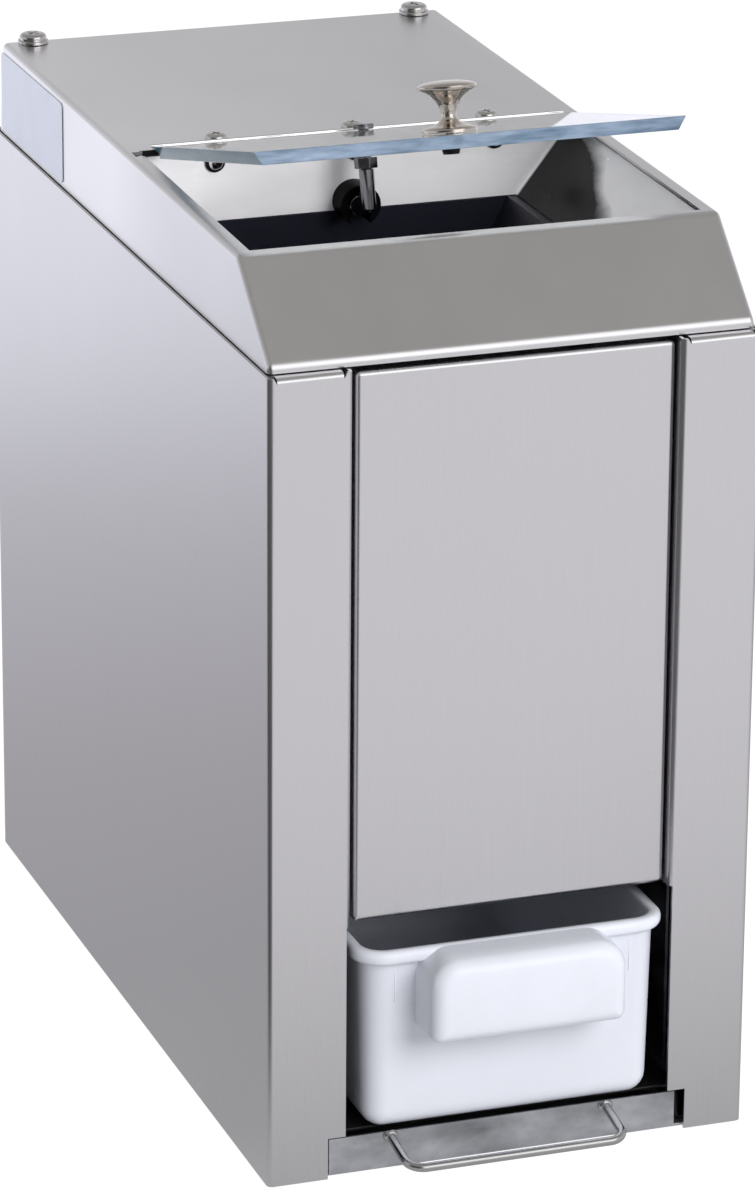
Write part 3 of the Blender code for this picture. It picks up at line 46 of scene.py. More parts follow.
# General sizes
MILLIMETRE = 0.001
GAP = 0.0003
QUARTER = math.radians(90)
SHARP = math.radians(50)
SOFT_EDGE = 0.00022
WELD = 0.00001
FLAT = 0.9

# How many steps a round has: a full turn, or a quarter turn of a bend or corner
ROUND_STEPS = 48
SCREW_STEPS = 32
KNOB_STEPS = 12
BEND_STEPS = 12
BIN_CORNER_STEPS = 10
BIN_FOOT_STEPS = 6
CUP_CORNER_STEPS = 8
CUP_EDGE_STEPS = 7
LABEL_CORNER_STEPS = 6
ROD_RESOLUTION = 6
BEAD_AROUND = 24
BEAD_RINGS = 12

# Fine unevenness of surfaces: depth of the grain, and scales of the clouds and specks
GRAIN_DEPTH = 0.00002
CLOUD_SCALE = (60, 60, 60)
SPECK_SCALE = (1500, 1500, 1500)

# Sheet steel, and where the hood's top has a painted sheen that grows paler towards the left rear
STEEL_LOW = (0.72, 0.713, 0.73)
STEEL_HIGH = (0.76, 0.753, 0.77)
PAINTED_SHEEN_ACROSS = (-0.085, 0.06)
PAINTED_SHEEN_ALONG = (-0.06, 0.02)
PAINTED_SHEEN_LEAST = -0.02
PAINTED_SHEEN_BLUR = 0.035

# Painted darkness in the hopper's colour: a painted dark reflection as a patch at the rear of its right
# wall, and a painted shade on its back wall
PAINTED_REFLECTION_DEPTH = 0.98
PAINTED_REFLECTION_SLANT = 3.6
PAINTED_REFLECTION_FADE = (-0.345, -0.326)
PAINTED_REFLECTION_BLUR = 0.005
PAINTED_REFLECTION_EDGES = (("Y", 0.0045, 0.0030), ("X", 0.040, 0.050))
SHADE_EDGES = (("Y", 0.0045, 0.0060), ("X", -0.020, 0.070))
SHADE_HEIGHTS = (0.328, 0.344)
SHADE_LEAST = 0.3

# What the metal mirrors: brightness by height in the tent, and by place from front to back on the floor,
# with a painted shadow that darkens the floor near the object
TENT_LEVELS = ((0.0, (0.72, 0.72, 0.73)), (0.20, (0.68, 0.68, 0.69)), (0.36, (0.555, 0.55, 0.57)),
               (0.60, (0.43, 0.425, 0.42)), (0.90, (0.345, 0.34, 0.325)))
FLOOR_LEVELS = ((-1.05, (0.80, 0.79, 0.81)), (-0.55, (0.76, 0.75, 0.77)), (-0.30, (0.59, 0.585, 0.595)),
                (-0.12, (0.43, 0.428, 0.438)), (0.05, (0.41, 0.405, 0.42)), (0.28, (0.46, 0.45, 0.475)),
                (0.65, (0.60, 0.595, 0.64)), (0.88, (0.86, 0.87, 0.95)), (1.15, (1.0, 1.01, 1.10)))
NEAR_SIDE = 0.86
TENT_NEAR = (("X", -0.05, -0.35), ("Y", -0.1, -0.4), ("Z", 0.8, 0.45))
FLOOR_NEAR_ACROSS = (-0.11, -0.23)
FLOOR_NEAR_ALONG = (-0.20, -0.36)
FLOOR_NEAR_SLANT = 0.5
SOFTBOX = 1.1
SOFTBOX_RISE = (0.17, 0.30)
SOFTBOX_EDGES = (("Z", 0.85, 0.68), ("Y", -0.15, -0.35), ("X", -0.15, 0.05), ("X", 0.75, 0.55))

# Floor, plain light of the world and key lamp
FLOOR_HALF = 6
FLOOR_COLOUR = (0.8, 0.8, 0.8)
FLOOR_SHARE = 0.78
FLOOR_GLOW = 1.25
AMBIENT = 0.34
KEY_PLACE = (0.8, -2.2, 1.35)
KEY_TARGET = (0, 0, 0.2)
KEY_SIZE = 1.6
KEY_POWER = 50

# Where a scene piece stands a little off its CAD solid, as the photograph's gaps ask
COVER_REACH = 0.0019
COVER_RISE = 0.0005
LID_TRIM = 0.0026
BIN_RISE = 2.4 * MILLIMETRE

# Places in the lid's list of looks
FRONT_EDGE, SIDE_EDGE, BACK_EDGE = 1, 2, 3

# Knob below its crown, as shares of its radius and height
KNOB_CROWN = 0.12
KNOB_UNDER = ((0.985, 0.845), (0.93, 0.815), (0.80, 0.775), (0.62, 0.715), (0.46, 0.63), (0.35, 0.53),
              (0.28, 0.43), (0.26, 0.35), (0.28, 0.27), (0.36, 0.20), (0.52, 0.145), (0.72, 0.11),
              (0.90, 0.085), (0.945, 0.05), (0.93, 0.0))

# Screws: each one's turn, the dome and the cross as shares of the head, then sizes
HOOD_SCREWS = {"hood_front_screw_left": 0.4, "hood_front_screw_middle": 1.1, "hood_front_screw_right": 0.2,
               "hood_rear_screw_left": 0.75, "hood_rear_screw_right": 0.3}
HOPPER_SCREWS = {"hopper_screw_left": 0.5, "hopper_screw_middle": 0.1, "hopper_screw_right": 0.9}
SCREW_DOME = ((0.35, 0.985), (0.62, 0.95), (0.76, 0.91), (0.86, 0.83), (0.93, 0.71), (0.975, 0.55),
              (1.0, 0.36), (1.0, 0.0))
CROSS_REACH = 0.58
CROSS_DEPTH = 0.55
CROSS_WIDTH = 0.26
CROSS_LOWER = 0.55
CROSS_UPPER = 1.25
SHANK_RADIUS = 1.9 * MILLIMETRE
SHANK_LENGTH = 4.2 * MILLIMETRE
WASHER_HEIGHT = 1.2 * MILLIMETRE
WASHER_SHOULDER = ((0.45, 0.0), (0.12, 0.15), (0.0, 0.45))
FRONT_HEAD = 2.8 * MILLIMETRE
REAR_HEAD = 2.7 * MILLIMETRE
REAR_HEAD_ROOM = 3.4 * MILLIMETRE
REAR_HEAD_INSET = 0.7 * MILLIMETRE
HOPPER_HEAD = 2.3 * MILLIMETRE
HOPPER_HEAD_RADIUS = 2.9 * MILLIMETRE
HOPPER_HEAD_DEPTH = 2.4 * MILLIMETRE
COLLAR = ((0, 1.0), (3.6, 1.0), (4.1, 0.6))
HOOD_RISE = 4
HOOD_RUN = 309

# Rim of the ice bin from the outside over the top to the inside: millimetres outward and down
BIN_RIM = ((-0.3, 6.4), (0.2, 5.4), (1.6, 5.2), (2.5, 4.9), (3.0, 4.2), (3.2, 3.2), (3.2, 2.2), (2.9, 1.1),
           (2.2, 0.3), (1.2, 0.0), (0.0, 0.0), (-1.2, 0.25), (-1.8, 1.0), (-2.0, 2.2))
CUP_INSETS = (6.5, 8.5, 10.5, 12.5)

# Weld bead: its half sizes in millimetres and how lumpy it is
WELD_BEAD = (2.9, 1.3, 2.3)
WELD_LUMP = 0.16
WELD_LUMP_SCALE = 0.45

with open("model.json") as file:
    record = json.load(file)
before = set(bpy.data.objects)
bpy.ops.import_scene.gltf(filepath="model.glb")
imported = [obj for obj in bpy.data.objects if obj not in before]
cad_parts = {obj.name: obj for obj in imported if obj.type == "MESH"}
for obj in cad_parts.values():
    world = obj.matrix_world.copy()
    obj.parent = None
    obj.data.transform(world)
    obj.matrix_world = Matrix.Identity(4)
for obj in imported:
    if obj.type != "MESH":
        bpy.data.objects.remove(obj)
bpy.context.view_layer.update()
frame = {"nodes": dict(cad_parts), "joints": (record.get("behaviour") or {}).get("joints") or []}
NODES = frame["nodes"]
JOINTS = {joint["name"]: joint for joint in frame["joints"]}

# The lid's own place: x along the hinge, y towards the back, z off the plate
LID_HINGE = JOINTS["lid_hinge"]
LID_TILT = -math.radians(LID_HINGE["range_deg"][0])
LID_PLACE = Matrix.Translation(LID_HINGE["pos_m"]) @ Matrix.Rotation(-LID_TILT, 4, "X")


# Materials

def new_material(name):
    made = bpy.data.materials.new(name)
    made.use_nodes = True
    tree = made.node_tree
    return made, tree, tree.nodes["Principled BSDF"]


def set_surface(shader, colour, roughness, metallic=0.0, **sockets):
    """Constant values on the shader; a further socket's name has _ for each space."""
    shader.inputs["Base Color"].default_value = (*colour, 1.0)
    shader.inputs["Roughness"].default_value = roughness
    shader.inputs["Metallic"].default_value = metallic
    for socket, value in sockets.items():
        shader.inputs[socket.replace("_", " ")].default_value = value


def object_texture(tree, kind, scale, detail=3.0):
    """A texture node read in the object's own metres, with a scale for each axis."""
    place = tree.nodes.new("ShaderNodeTexCoord")
    stretch = tree.nodes.new("ShaderNodeMapping")
    stretch.inputs["Scale"].default_value = scale
    texture = tree.nodes.new(kind)
    texture.inputs["Scale"].default_value = 1.0
    if "Detail" in texture.inputs:
        texture.inputs["Detail"].default_value = detail
    tree.links.new(place.outputs["Object"], stretch.inputs["Vector"])
    tree.links.new(stretch.outputs["Vector"], texture.inputs["Vector"])
    return texture


def cloudy(tree, scale, detail=3.0):
    """A soft noise, as a number."""
    return object_texture(tree, "ShaderNodeTexNoise", scale, detail).outputs["Fac"]


def axes_of(tree, output="Object"):
    """Sockets of the three coordinates, in the object's metres or along a ray of the world."""
    place = tree.nodes.new("ShaderNodeTexCoord")
    split = tree.nodes.new("ShaderNodeSeparateXYZ")
    tree.links.new(place.outputs[output], split.inputs["Vector"])
    return split.outputs


def spread(tree, source, low, high, start=0.3, end=0.7):
    """Stretch the range from start to end to a range of numbers; a texture's middle range unless told."""
    made = tree.nodes.new("ShaderNodeMapRange")
    made.inputs["From Min"].default_value = start
    made.inputs["From Max"].default_value = end
    made.inputs["To Min"].default_value = low
    made.inputs["To Max"].default_value = high
    tree.links.new(source, made.inputs["Value"])
    return made.outputs["Result"]


def blend_colours(tree, factor, low, high):
    """Colour between two, chosen by a number."""
    made = tree.nodes.new("ShaderNodeMix")
    made.data_type = "RGBA"
    colours = [socket for socket in made.inputs if socket.type == "RGBA"]
    colours[0].default_value = (*low, 1.0)
    colours[1].default_value = (*high, 1.0)
    tree.links.new(factor, made.inputs["Factor"])
    return [socket for socket in made.outputs if socket.type == "RGBA"][0]


def roughen(tree, shader, source, strength, depth):
    bump = tree.nodes.new("ShaderNodeBump")
    bump.inputs["Strength"].default_value = strength
    bump.inputs["Distance"].default_value = depth
    tree.links.new(source, bump.inputs["Height"])
    tree.links.new(bump.outputs["Normal"], shader.inputs["Normal"])


def calculate(tree, operation, first, second=0.0):
    """One sum of a node tree; each side is a socket or a number."""
    made = tree.nodes.new("ShaderNodeMath")
    made.operation = operation
    for socket, value in zip(made.inputs, (first, second)):
        if isinstance(value, bpy.types.NodeSocket):
            tree.links.new(value, socket)
        else:
            socket.default_value = value
    return made.outputs["Value"]


def within(tree, value, edges):
    """A number that fades in across each edge: a socket, where it starts and where it is full."""
    for source, start, end in edges:
        value = calculate(tree, "MULTIPLY", value, spread(tree, source, 0.0, 1.0, start, end))
    return value


def on_axes(axes, edges):
    """Edges with their axes' names turned into sockets."""
    return [(axes[axis], start, end) for axis, start, end in edges]


def dimmed(tree, colour, share):
    made = tree.nodes.new("ShaderNodeVectorMath")
    made.operation = "SCALE"
    tree.links.new(colour, made.inputs["Vector"])
    tree.links.new(share, made.inputs["Scale"])
    return made.outputs["Vector"]


def plain(name, colour, roughness, metallic=0.0, uneven=0.03, grain=0.0, **sockets):
    """A moulded, painted or polished surface: faint clouds in its colour and gloss, and a fine grain."""
    made, tree, shader = new_material(name)
    set_surface(shader, colour, roughness, metallic, **sockets)
    if uneven:
        clouds = cloudy(tree, CLOUD_SCALE, 4.0)
        low = [part * (1 - uneven) for part in colour]
        high = [min(part * (1 + uneven), 1.0) for part in colour]
        tint = blend_colours(tree, spread(tree, clouds, 0, 1), low, high)
        tree.links.new(tint, shader.inputs["Base Color"])
        gloss = spread(tree, clouds, roughness * (1 - 3 * uneven), roughness * (1 + 3 * uneven))
        tree.links.new(gloss, shader.inputs["Roughness"])
    if grain:
        roughen(tree, shader, cloudy(tree, SPECK_SCALE, 2.0), grain, GRAIN_DEPTH)
    return made


def add_painted_sheen(tree, tint, painted_lift):
    """Painted sheen: the tint grown paler towards the left rear, by a share with a wiped, uneven border.
    """
    axes = axes_of(tree)
    wiped = cloudy(tree, (9, 7, 9), 2.0)
    across = calculate(tree, "ADD", axes["X"], spread(tree, wiped, -PAINTED_SHEEN_BLUR, PAINTED_SHEEN_BLUR))
    sheen_share = spread(tree, across, painted_lift, PAINTED_SHEEN_LEAST, *PAINTED_SHEEN_ACROSS)
    sheen_share = within(tree, sheen_share, [(axes["Y"], *PAINTED_SHEEN_ALONG)])
    return dimmed(tree, tint, calculate(tree, "ADD", sheen_share, 1.0))


def grained_steel(name, grain, low=STEEL_LOW, high=STEEL_HIGH, rough=(0.27, 0.32), bump=0.03, painted_lift=0.0):
    """Sheet steel whose fine grain is drawn out along its smallest scale; its last argument paints a paler
    sheen at the left rear.
    """
    made, tree, shader = new_material(name)
    set_surface(shader, high, rough[0], 1.0)
    streaks = cloudy(tree, grain)
    clouds = cloudy(tree, (17, 13, 9))
    mixed = calculate(tree, "ADD", spread(tree, streaks, 0, 0.6), spread(tree, clouds, 0, 0.4))
    tint = blend_colours(tree, mixed, low, high)
    if painted_lift:
        tint = add_painted_sheen(tree, tint, painted_lift)
    tree.links.new(tint, shader.inputs["Base Color"])
    uneven = calculate(tree, "ADD", spread(tree, streaks, *rough), spread(tree, clouds, -0.02, 0.02))
    tree.links.new(uneven, shader.inputs["Roughness"])
    if bump:
        roughen(tree, shader, streaks, bump, GRAIN_DEPTH)
    return made


def smudged_steel_with_painted_shade(name):
    """Bright sheet with faint wiped marks, for the hopper, with a painted dark reflection at the rear of
    its right wall and a painted shade on the upper right of its back wall.
    """
    made, tree, shader = new_material(name)
    set_surface(shader, (0.94, 0.93, 0.95), 0.2, 0.22, Specular_IOR_Level=0.05)
    marks = cloudy(tree, (40, 40, 120), 4.0)
    tree.links.new(spread(tree, marks, 0.16, 0.28), shader.inputs["Roughness"])
    tint = blend_colours(tree, spread(tree, marks, 0, 1), (0.90, 0.89, 0.91), (0.97, 0.96, 0.98))
    axes = axes_of(tree)
    # Painted dark reflection: the tint dims in a slanting patch at the rear of the right wall
    slant = calculate(tree, "MULTIPLY", axes["X"], PAINTED_REFLECTION_SLANT)
    along = calculate(tree, "SUBTRACT", axes["Y"], slant)
    blurred = calculate(tree, "ADD", along, spread(tree, marks, -PAINTED_REFLECTION_BLUR, PAINTED_REFLECTION_BLUR))
    painted_reflection = spread(tree, blurred, 0, PAINTED_REFLECTION_DEPTH, *PAINTED_REFLECTION_FADE)
    painted_reflection = within(tree, painted_reflection, on_axes(axes, PAINTED_REFLECTION_EDGES))
    # Painted shade: the tint dims on the upper right of the back wall
    shaded = spread(tree, marks, 0.35, 0.85, 0.35, 0.65)
    shaded = within(tree, shaded, on_axes(axes, SHADE_EDGES))
    upper = spread(tree, axes["Z"], SHADE_LEAST, 1, *SHADE_HEIGHTS)
    shaded = calculate(tree, "MULTIPLY", shaded, upper)
    bright = calculate(tree, "SUBTRACT", 1.0, calculate(tree, "ADD", painted_reflection, shaded))
    tree.links.new(dimmed(tree, tint, bright), shader.inputs["Base Color"])
    roughen(tree, shader, marks, 0.10, 0.0002)
    return made


def galvanised(name, low=(0.25, 0.26, 0.28), high=(0.70, 0.72, 0.755)):
    """Zinc sheet: soft cloudy bloom drawn out along the rolling, with faint spangles."""
    made, tree, shader = new_material(name)
    set_surface(shader, high, 0.4, 0.9)
    clouds = cloudy(tree, (34, 34, 70), 5.0)
    cells = object_texture(tree, "ShaderNodeTexVoronoi", (260, 260, 260)).outputs["Distance"]
    bloom = spread(tree, clouds, 0, 0.9, 0.32, 0.68)
    mixed = calculate(tree, "ADD", bloom, spread(tree, cells, -0.08, 0.08, 0.2, 0.8))
    tree.links.new(blend_colours(tree, mixed, low, high), shader.inputs["Base Color"])
    tree.links.new(spread(tree, mixed, 0.24, 0.46, 0, 1), shader.inputs["Roughness"])
    return made


def sawn_acrylic(name, low, high, streaks=(45, 45, 260)):
    """An edge of the lid: bluish, with faint marks of the saw along it."""
    made, tree, shader = new_material(name)
    set_surface(shader, high, 0.16, 0.0, Transmission_Weight=0.12, IOR=1.49)
    marks = cloudy(tree, streaks, 4.0)
    tint = blend_colours(tree, spread(tree, marks, 0, 1, 0.35, 0.65), low, high)
    tree.links.new(tint, shader.inputs["Base Color"])
    tree.links.new(spread(tree, marks, 0.12, 0.3), shader.inputs["Roughness"])
    return made


STEEL_UPRIGHT = grained_steel("steel_upright_grain", (2400, 2400, 40))
# The hood's top: its last argument paints a paler sheen at the left rear
STEEL_ALONG = grained_steel("steel_lengthwise_grain", (70, 6, 70), (0.735, 0.728, 0.745),
                            (0.75, 0.743, 0.76), (0.29, 0.31), bump=0.0, painted_lift=0.17)
STEEL_FINE = grained_steel("steel_folded_inside", (500, 500, 500))
HOPPER_STEEL = smudged_steel_with_painted_shade("hopper_steel")
ZINC = galvanised("galvanised_sheet")
HARD = plain("hard_steel", (0.40, 0.40, 0.41), 0.28, 1.0)
SCREW_STEEL = plain("screw_steel", (0.62, 0.61, 0.60), 0.10, 1.0)
NICKEL = plain("polished_nickel", (0.62, 0.57, 0.52), 0.05, 1.0)
DARK_CHROME = plain("dark_chrome", (0.22, 0.22, 0.23), 0.10, 1.0)
CHROME = plain("bright_chrome", (0.86, 0.86, 0.87), 0.08, 1.0)
WIRE = plain("bright_wire", (0.52, 0.52, 0.52), 0.18, 1.0)
CHAMBER_BLACK = plain("chamber_black", (0.010, 0.011, 0.017), 0.42, Specular_IOR_Level=0.25)
BLACK = plain("black_plastic", (0.006, 0.006, 0.007), 0.30, grain=0.2, Specular_IOR_Level=0.1)
GUARD_BLACK = plain("guard_black", (0.003, 0.003, 0.004), 0.4, Specular_IOR_Level=0.02)
# Painted shade: zinc sheet darkened near to black for the parts inside the bay, where shade falls
ZINC_PAINTED_SHADE = galvanised("zinc_darkened_as_shade", (0.04, 0.04, 0.042), (0.08, 0.08, 0.085))
PAINT = plain("drive_paint", (0.05, 0.055, 0.06), 0.42, grain=0.3)
WHITE = plain("white_plastic", (0.80, 0.82, 0.90), 0.30, uneven=0.015, grain=0.1, IOR=1.5)
RUBBER = plain("rubber", (0.02, 0.02, 0.02), 0.7, grain=0.4)
CLEAR = plain("clear_acrylic", (0.97, 0.985, 0.99), 0.03, uneven=0.01, Transmission_Weight=0.88, IOR=1.49)
SAWN = sawn_acrylic("acrylic_front_edge", (0.07, 0.13, 0.21), (0.25, 0.34, 0.47))
SAWN_SIDE = sawn_acrylic("acrylic_side_edge", (0.10, 0.20, 0.28), (0.15, 0.27, 0.36), (60, 14, 60))
SAWN_BACK = plain("acrylic_back_edge", (0.93, 0.95, 0.97), 0.35)
LABEL = plain("label_plate", (0.80, 0.83, 0.90), 0.42, 0.9)


# Making pieces

def link_object(name, data):
    made = bpy.data.objects.new(name, data)
    bpy.context.scene.collection.objects.link(made)
    return made


def mesh_of(name, shape):
    """A mesh with its faces turned outwards; the bmesh that it comes from is used up."""
    mesh = bpy.data.meshes.new(name)
    bmesh.ops.recalc_face_normals(shape, faces=shape.faces)
    shape.to_mesh(mesh)
    shape.free()
    return mesh


def smooth_rounds(mesh):
    mesh.shade_smooth()
    mesh.set_sharp_from_angle(angle=SHARP)


def attach(piece, body, nodes=()):
    """Let a piece ride on its body, in place of CAD nodes."""
    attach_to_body(piece, body)
    if nodes:
        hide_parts(*nodes)


def finish_piece(name, shape, look, body, nodes=(), smooth=True):
    """Turn a bmesh into an object that rides on a body and stands for CAD nodes."""
    mesh = mesh_of(name, shape)
    mesh.materials.append(look)
    made = link_object(name, mesh)
    if smooth:
        smooth_rounds(mesh)
    attach(made, body, nodes)
    return made


def tube(name, points, radius, look, body, nodes=()):
    """A round rod along a line of points."""
    curve = bpy.data.curves.new(name, "CURVE")
    curve.dimensions = "3D"
    curve.bevel_depth = radius
    curve.bevel_resolution = ROD_RESOLUTION
    curve.use_fill_caps = True
    line = curve.splines.new("POLY")
    line.points.add(len(points) - 1)
    for target, point in zip(line.points, points):
        target.co = (*point, 1)
    line.use_smooth = True
    curve.materials.append(look)
    made = link_object(name, curve)
    attach(made, body, nodes)
    return made


def shape_of(node):
    """The CAD node's mesh as a bmesh, with its corners joined."""
    shape = bmesh.new()
    shape.from_mesh(NODES[node].data)
    bmesh.ops.remove_doubles(shape, verts=shape.verts, dist=WELD)
    return shape


def span(node, place):
    """Lowest and highest corner of a CAD node, counted in a place of its own."""
    back = place.inverted()
    points = [back @ v.co for v in NODES[node].data.vertices]
    return (Vector([min(p[i] for p in points) for i in range(3)]),
            Vector([max(p[i] for p in points) for i in range(3)]))


def arc(steps, start=0):
    """Angles of a quarter turn, which begins a number of quarters round."""
    return [QUARTER * (start + i / steps) for i in range(steps + 1)]


def rounded(low, high, radii, steps):
    """Points round a rectangle with a radius at each corner, from the highest corner anticlockwise."""
    points = []
    for right, upper, start, radius in zip((1, 0, 0, 1), (1, 1, 0, 0), range(4), radii):
        across = high[0] - radius if right else low[0] + radius
        up = high[1] - radius if upper else low[1] + radius
        points += [(across + radius * math.cos(a), up + radius * math.sin(a)) for a in arc(steps, start)]
    return points


def loft(shape, rings):
    """Join rings of points, each as long as the next, and close both ends."""
    rows = [[shape.verts.new(point) for point in ring] for ring in rings]
    count = len(rows[0])
    for near, far in zip(rows, rows[1:]):
        for i in range(count):
            j = (i + 1) % count
            shape.faces.new((near[i], near[j], far[j], far[i]))
    shape.faces.new(rows[0])
    shape.faces.new(rows[-1])


def lathe(shape, profile, place, steps=ROUND_STEPS):
    """Turn a profile of radius and height, both ends on the axis, and set it by a matrix."""
    first = shape.verts.new(place @ Vector((0, 0, profile[0][1])))
    last = shape.verts.new(place @ Vector((0, 0, profile[-1][1])))
    turns = [2 * math.pi * i / steps for i in range(steps)]
    rows = []
    for radius, height in profile[1:-1]:
        rows.append([shape.verts.new(place @ Vector((radius * math.cos(a), radius * math.sin(a), height)))
                     for a in turns])
    for i in range(steps):
        j = (i + 1) % steps
        shape.faces.new((first, rows[0][i], rows[0][j]))
        shape.faces.new((last, rows[-1][j], rows[-1][i]))
        for near, far in zip(rows, rows[1:]):
            shape.faces.new((near[i], far[i], far[j], near[j]))


def box_shape(low, high):
    shape = bmesh.new()
    low = Vector(low)
    high = Vector(high)
    spot = Matrix.Translation((low + high) / 2) @ Matrix.Diagonal((*(high - low), 1))
    bmesh.ops.create_cube(shape, size=1, matrix=spot)
    return shape


def carve(piece, shape):
    """Cut a bmesh out of a piece, at once."""
    mesh = mesh_of("tool", shape)
    tool = link_object("tool", mesh)
    step = piece.modifiers.new("carve", "BOOLEAN")
    step.object = tool
    step.operation = "DIFFERENCE"
    step.solver = "EXACT"
    bpy.context.view_layer.update()
    shaped = piece.evaluated_get(bpy.context.evaluated_depsgraph_get())
    cut_mesh = bpy.data.meshes.new_from_object(shaped)
    old = piece.data
    piece.modifiers.clear()
    piece.data = cut_mesh
    bpy.data.meshes.remove(old)
    bpy.data.objects.remove(tool, do_unlink=True)
    bpy.data.meshes.remove(mesh)
    smooth_rounds(cut_mesh)


def bevel_edges(piece, angle=SHARP):
    """Soft edges where faces meet at more than an angle."""
    edge = piece.modifiers.new("edge", "BEVEL")
    edge.width = SOFT_EDGE
    edge.segments = 2
    edge.limit_method = "ANGLE"
    edge.angle_limit = angle
    return edge


def soften(piece):
    """Soft outer edges with even shading on the flats."""
    bevel_edges(piece).harden_normals = True
    piece.modifiers.new("flats", "WEIGHTED_NORMAL")


# Lid and knob

def make_lid():
    """The CAD plate again, trimmed at both sides, with its sawn edges in looks of their own."""
    shape = shape_of("lid")
    back = LID_PLACE.inverted()
    low, high = span("lid", LID_PLACE)
    rim = 3 * MILLIMETRE
    side = 6 * MILLIMETRE
    for v in shape.verts:
        if min(v.co.x - low.x, high.x - v.co.x) < side:
            v.co.x -= math.copysign(LID_TRIM, v.co.x)
    lid = finish_piece("clear_lid", shape, CLEAR, "lid", ["lid"], smooth=False)
    for look in (SAWN, SAWN_SIDE, SAWN_BACK):
        lid.data.materials.append(look)
    turn = LID_PLACE.to_3x3().inverted()
    for face in lid.data.polygons:
        middle = back @ face.center
        facing = turn @ face.normal
        if abs(facing.z) > FLAT:
            continue
        if middle.y - low.y < rim:
            face.material_index = FRONT_EDGE
        elif high.y - middle.y < rim:
            face.material_index = BACK_EDGE
        elif min(middle.x - low.x, high.x - middle.x) < rim + LID_TRIM:
            face.material_index = SIDE_EDGE
    lid.visible_shadow = False
    bevel_edges(lid, SHARP / 2)
    rod = 0.6 * MILLIMETRE
    proud = 0.18 * MILLIMETRE
    line = [LID_PLACE @ Vector((x, high.y - rod, high.z + proud))
            for x in (low.x + LID_TRIM, high.x - LID_TRIM)]
    tube("lid_rear_rod", line, rod, CHROME, "lid")


def make_knob():
    """Polished mushroom knob with a shallow crown, a thin rim and a spreading foot."""
    low, high = span("lid_knob", LID_PLACE)
    radius = (high.x - low.x) / 2
    height = high.z - low.z
    place = LID_PLACE @ Matrix.Translation(((low.x + high.x) / 2, (low.y + high.y) / 2, low.z))
    crown = [(radius * math.sin(a), height * (1 - KNOB_CROWN + KNOB_CROWN * math.cos(a)))
             for a in arc(KNOB_STEPS)]
    profile = crown + [(radius * out, height * up) for out, up in KNOB_UNDER] + [(0, 0)]
    shape = bmesh.new()
    lathe(shape, profile, place)
    finish_piece("knob", shape, NICKEL, "lid", ["lid_knob"])


# Screws and front cover

def cross_shape(place, reach, depth, width):
    """A cross-shaped plug that narrows towards its lower end."""
    half = width / 2
    corners = ((reach, -half), (reach, half), (half, half), (half, reach), (-half, reach), (-half, half),
               (-reach, half), (-reach, -half), (-half, -half), (-half, -reach), (half, -reach),
               (half, -half))
    shape = bmesh.new()
    loft(shape, [[place @ Vector((share * x, share * y, z)) for x, y in corners]
                 for z, share in ((-depth, CROSS_LOWER), (depth, CROSS_UPPER))])
    return shape


def make_screw(node, place, radius, height, turn, washer=0.0):
    """Domed head with a cross recess, on its shank; place has z along the screw, out of the sheet."""
    foot = GAP + (WASHER_HEIGHT if washer else 0)
    profile = [(0, foot + height)]
    profile += [(radius * out, foot + height * up) for out, up in SCREW_DOME]
    if washer:
        profile += [(washer - out * MILLIMETRE, foot - down * MILLIMETRE) for out, down in WASHER_SHOULDER]
        profile.append((washer, GAP))
    profile += [(SHANK_RADIUS, GAP), (SHANK_RADIUS, -SHANK_LENGTH), (0, -SHANK_LENGTH)]
    shape = bmesh.new()
    lathe(shape, profile, place, SCREW_STEPS)
    screw = finish_piece("fine_" + node, shape, SCREW_STEEL, "casing", [node])
    crown = place @ Matrix.Translation((0, 0, foot + height)) @ Matrix.Rotation(turn, 4, "Z")
    carve(screw, cross_shape(crown, radius * CROSS_REACH, height * CROSS_DEPTH, radius * CROSS_WIDTH))


def make_screws():
    """Screws of the hood and of the hopper's back wall, in place of the plain ones.

    The rear heads are lower than the CAD's, which are REAR_HEAD_ROOM high, and stand on the same washers.
    """
    tilt = Matrix.Rotation(math.atan2(HOOD_RISE, HOOD_RUN), 4, "X")
    for node, turn in HOOD_SCREWS.items():
        low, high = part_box(node)
        reach = (high.x - low.x) / 2
        if "rear" in node:
            head, tall, washer = reach - REAR_HEAD_INSET, REAR_HEAD, reach
            foot = high.z - GAP - WASHER_HEIGHT - REAR_HEAD_ROOM
        else:
            head, tall, washer = reach, FRONT_HEAD, 0.0
            foot = high.z - GAP - tall
        spot = Matrix.Translation(((low.x + high.x) / 2, (low.y + high.y) / 2, foot)) @ tilt
        make_screw(node, spot, head, tall, turn, washer)
    for node, turn in HOPPER_SCREWS.items():
        low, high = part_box(node)
        wall = low.y + HOPPER_HEAD_DEPTH + GAP
        spot = Matrix.Translation(((low.x + high.x) / 2, wall, (low.z + high.z) / 2))
        spot = spot @ Matrix.Rotation(QUARTER, 4, "X")
        make_screw(node, spot, HOPPER_HEAD_RADIUS, HOPPER_HEAD, turn)
        collar = [(out * MILLIMETRE, up * MILLIMETRE) for out, up in COLLAR]
        shape = bmesh.new()
        lathe(shape, collar + [(collar[-1][0], GAP), (0, GAP)], spot, SCREW_STEPS)
        finish_piece("collar_" + node, shape, BLACK, "casing")


def make_cover():
    """The CAD cover again, with the photograph's narrow gaps at its right side and its top."""
    low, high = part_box("front_cover")
    middle = (low.z + high.z) / 2
    shape = shape_of("front_cover")
    for v in shape.verts:
        v.co.x += COVER_REACH if v.co.x > 0 else 0.0
        v.co.z += COVER_RISE if v.co.z > middle else 0.0
    soften(finish_piece("bay_cover", shape, STEEL_UPRIGHT, "casing", ["front_cover"]))


# Ice bin

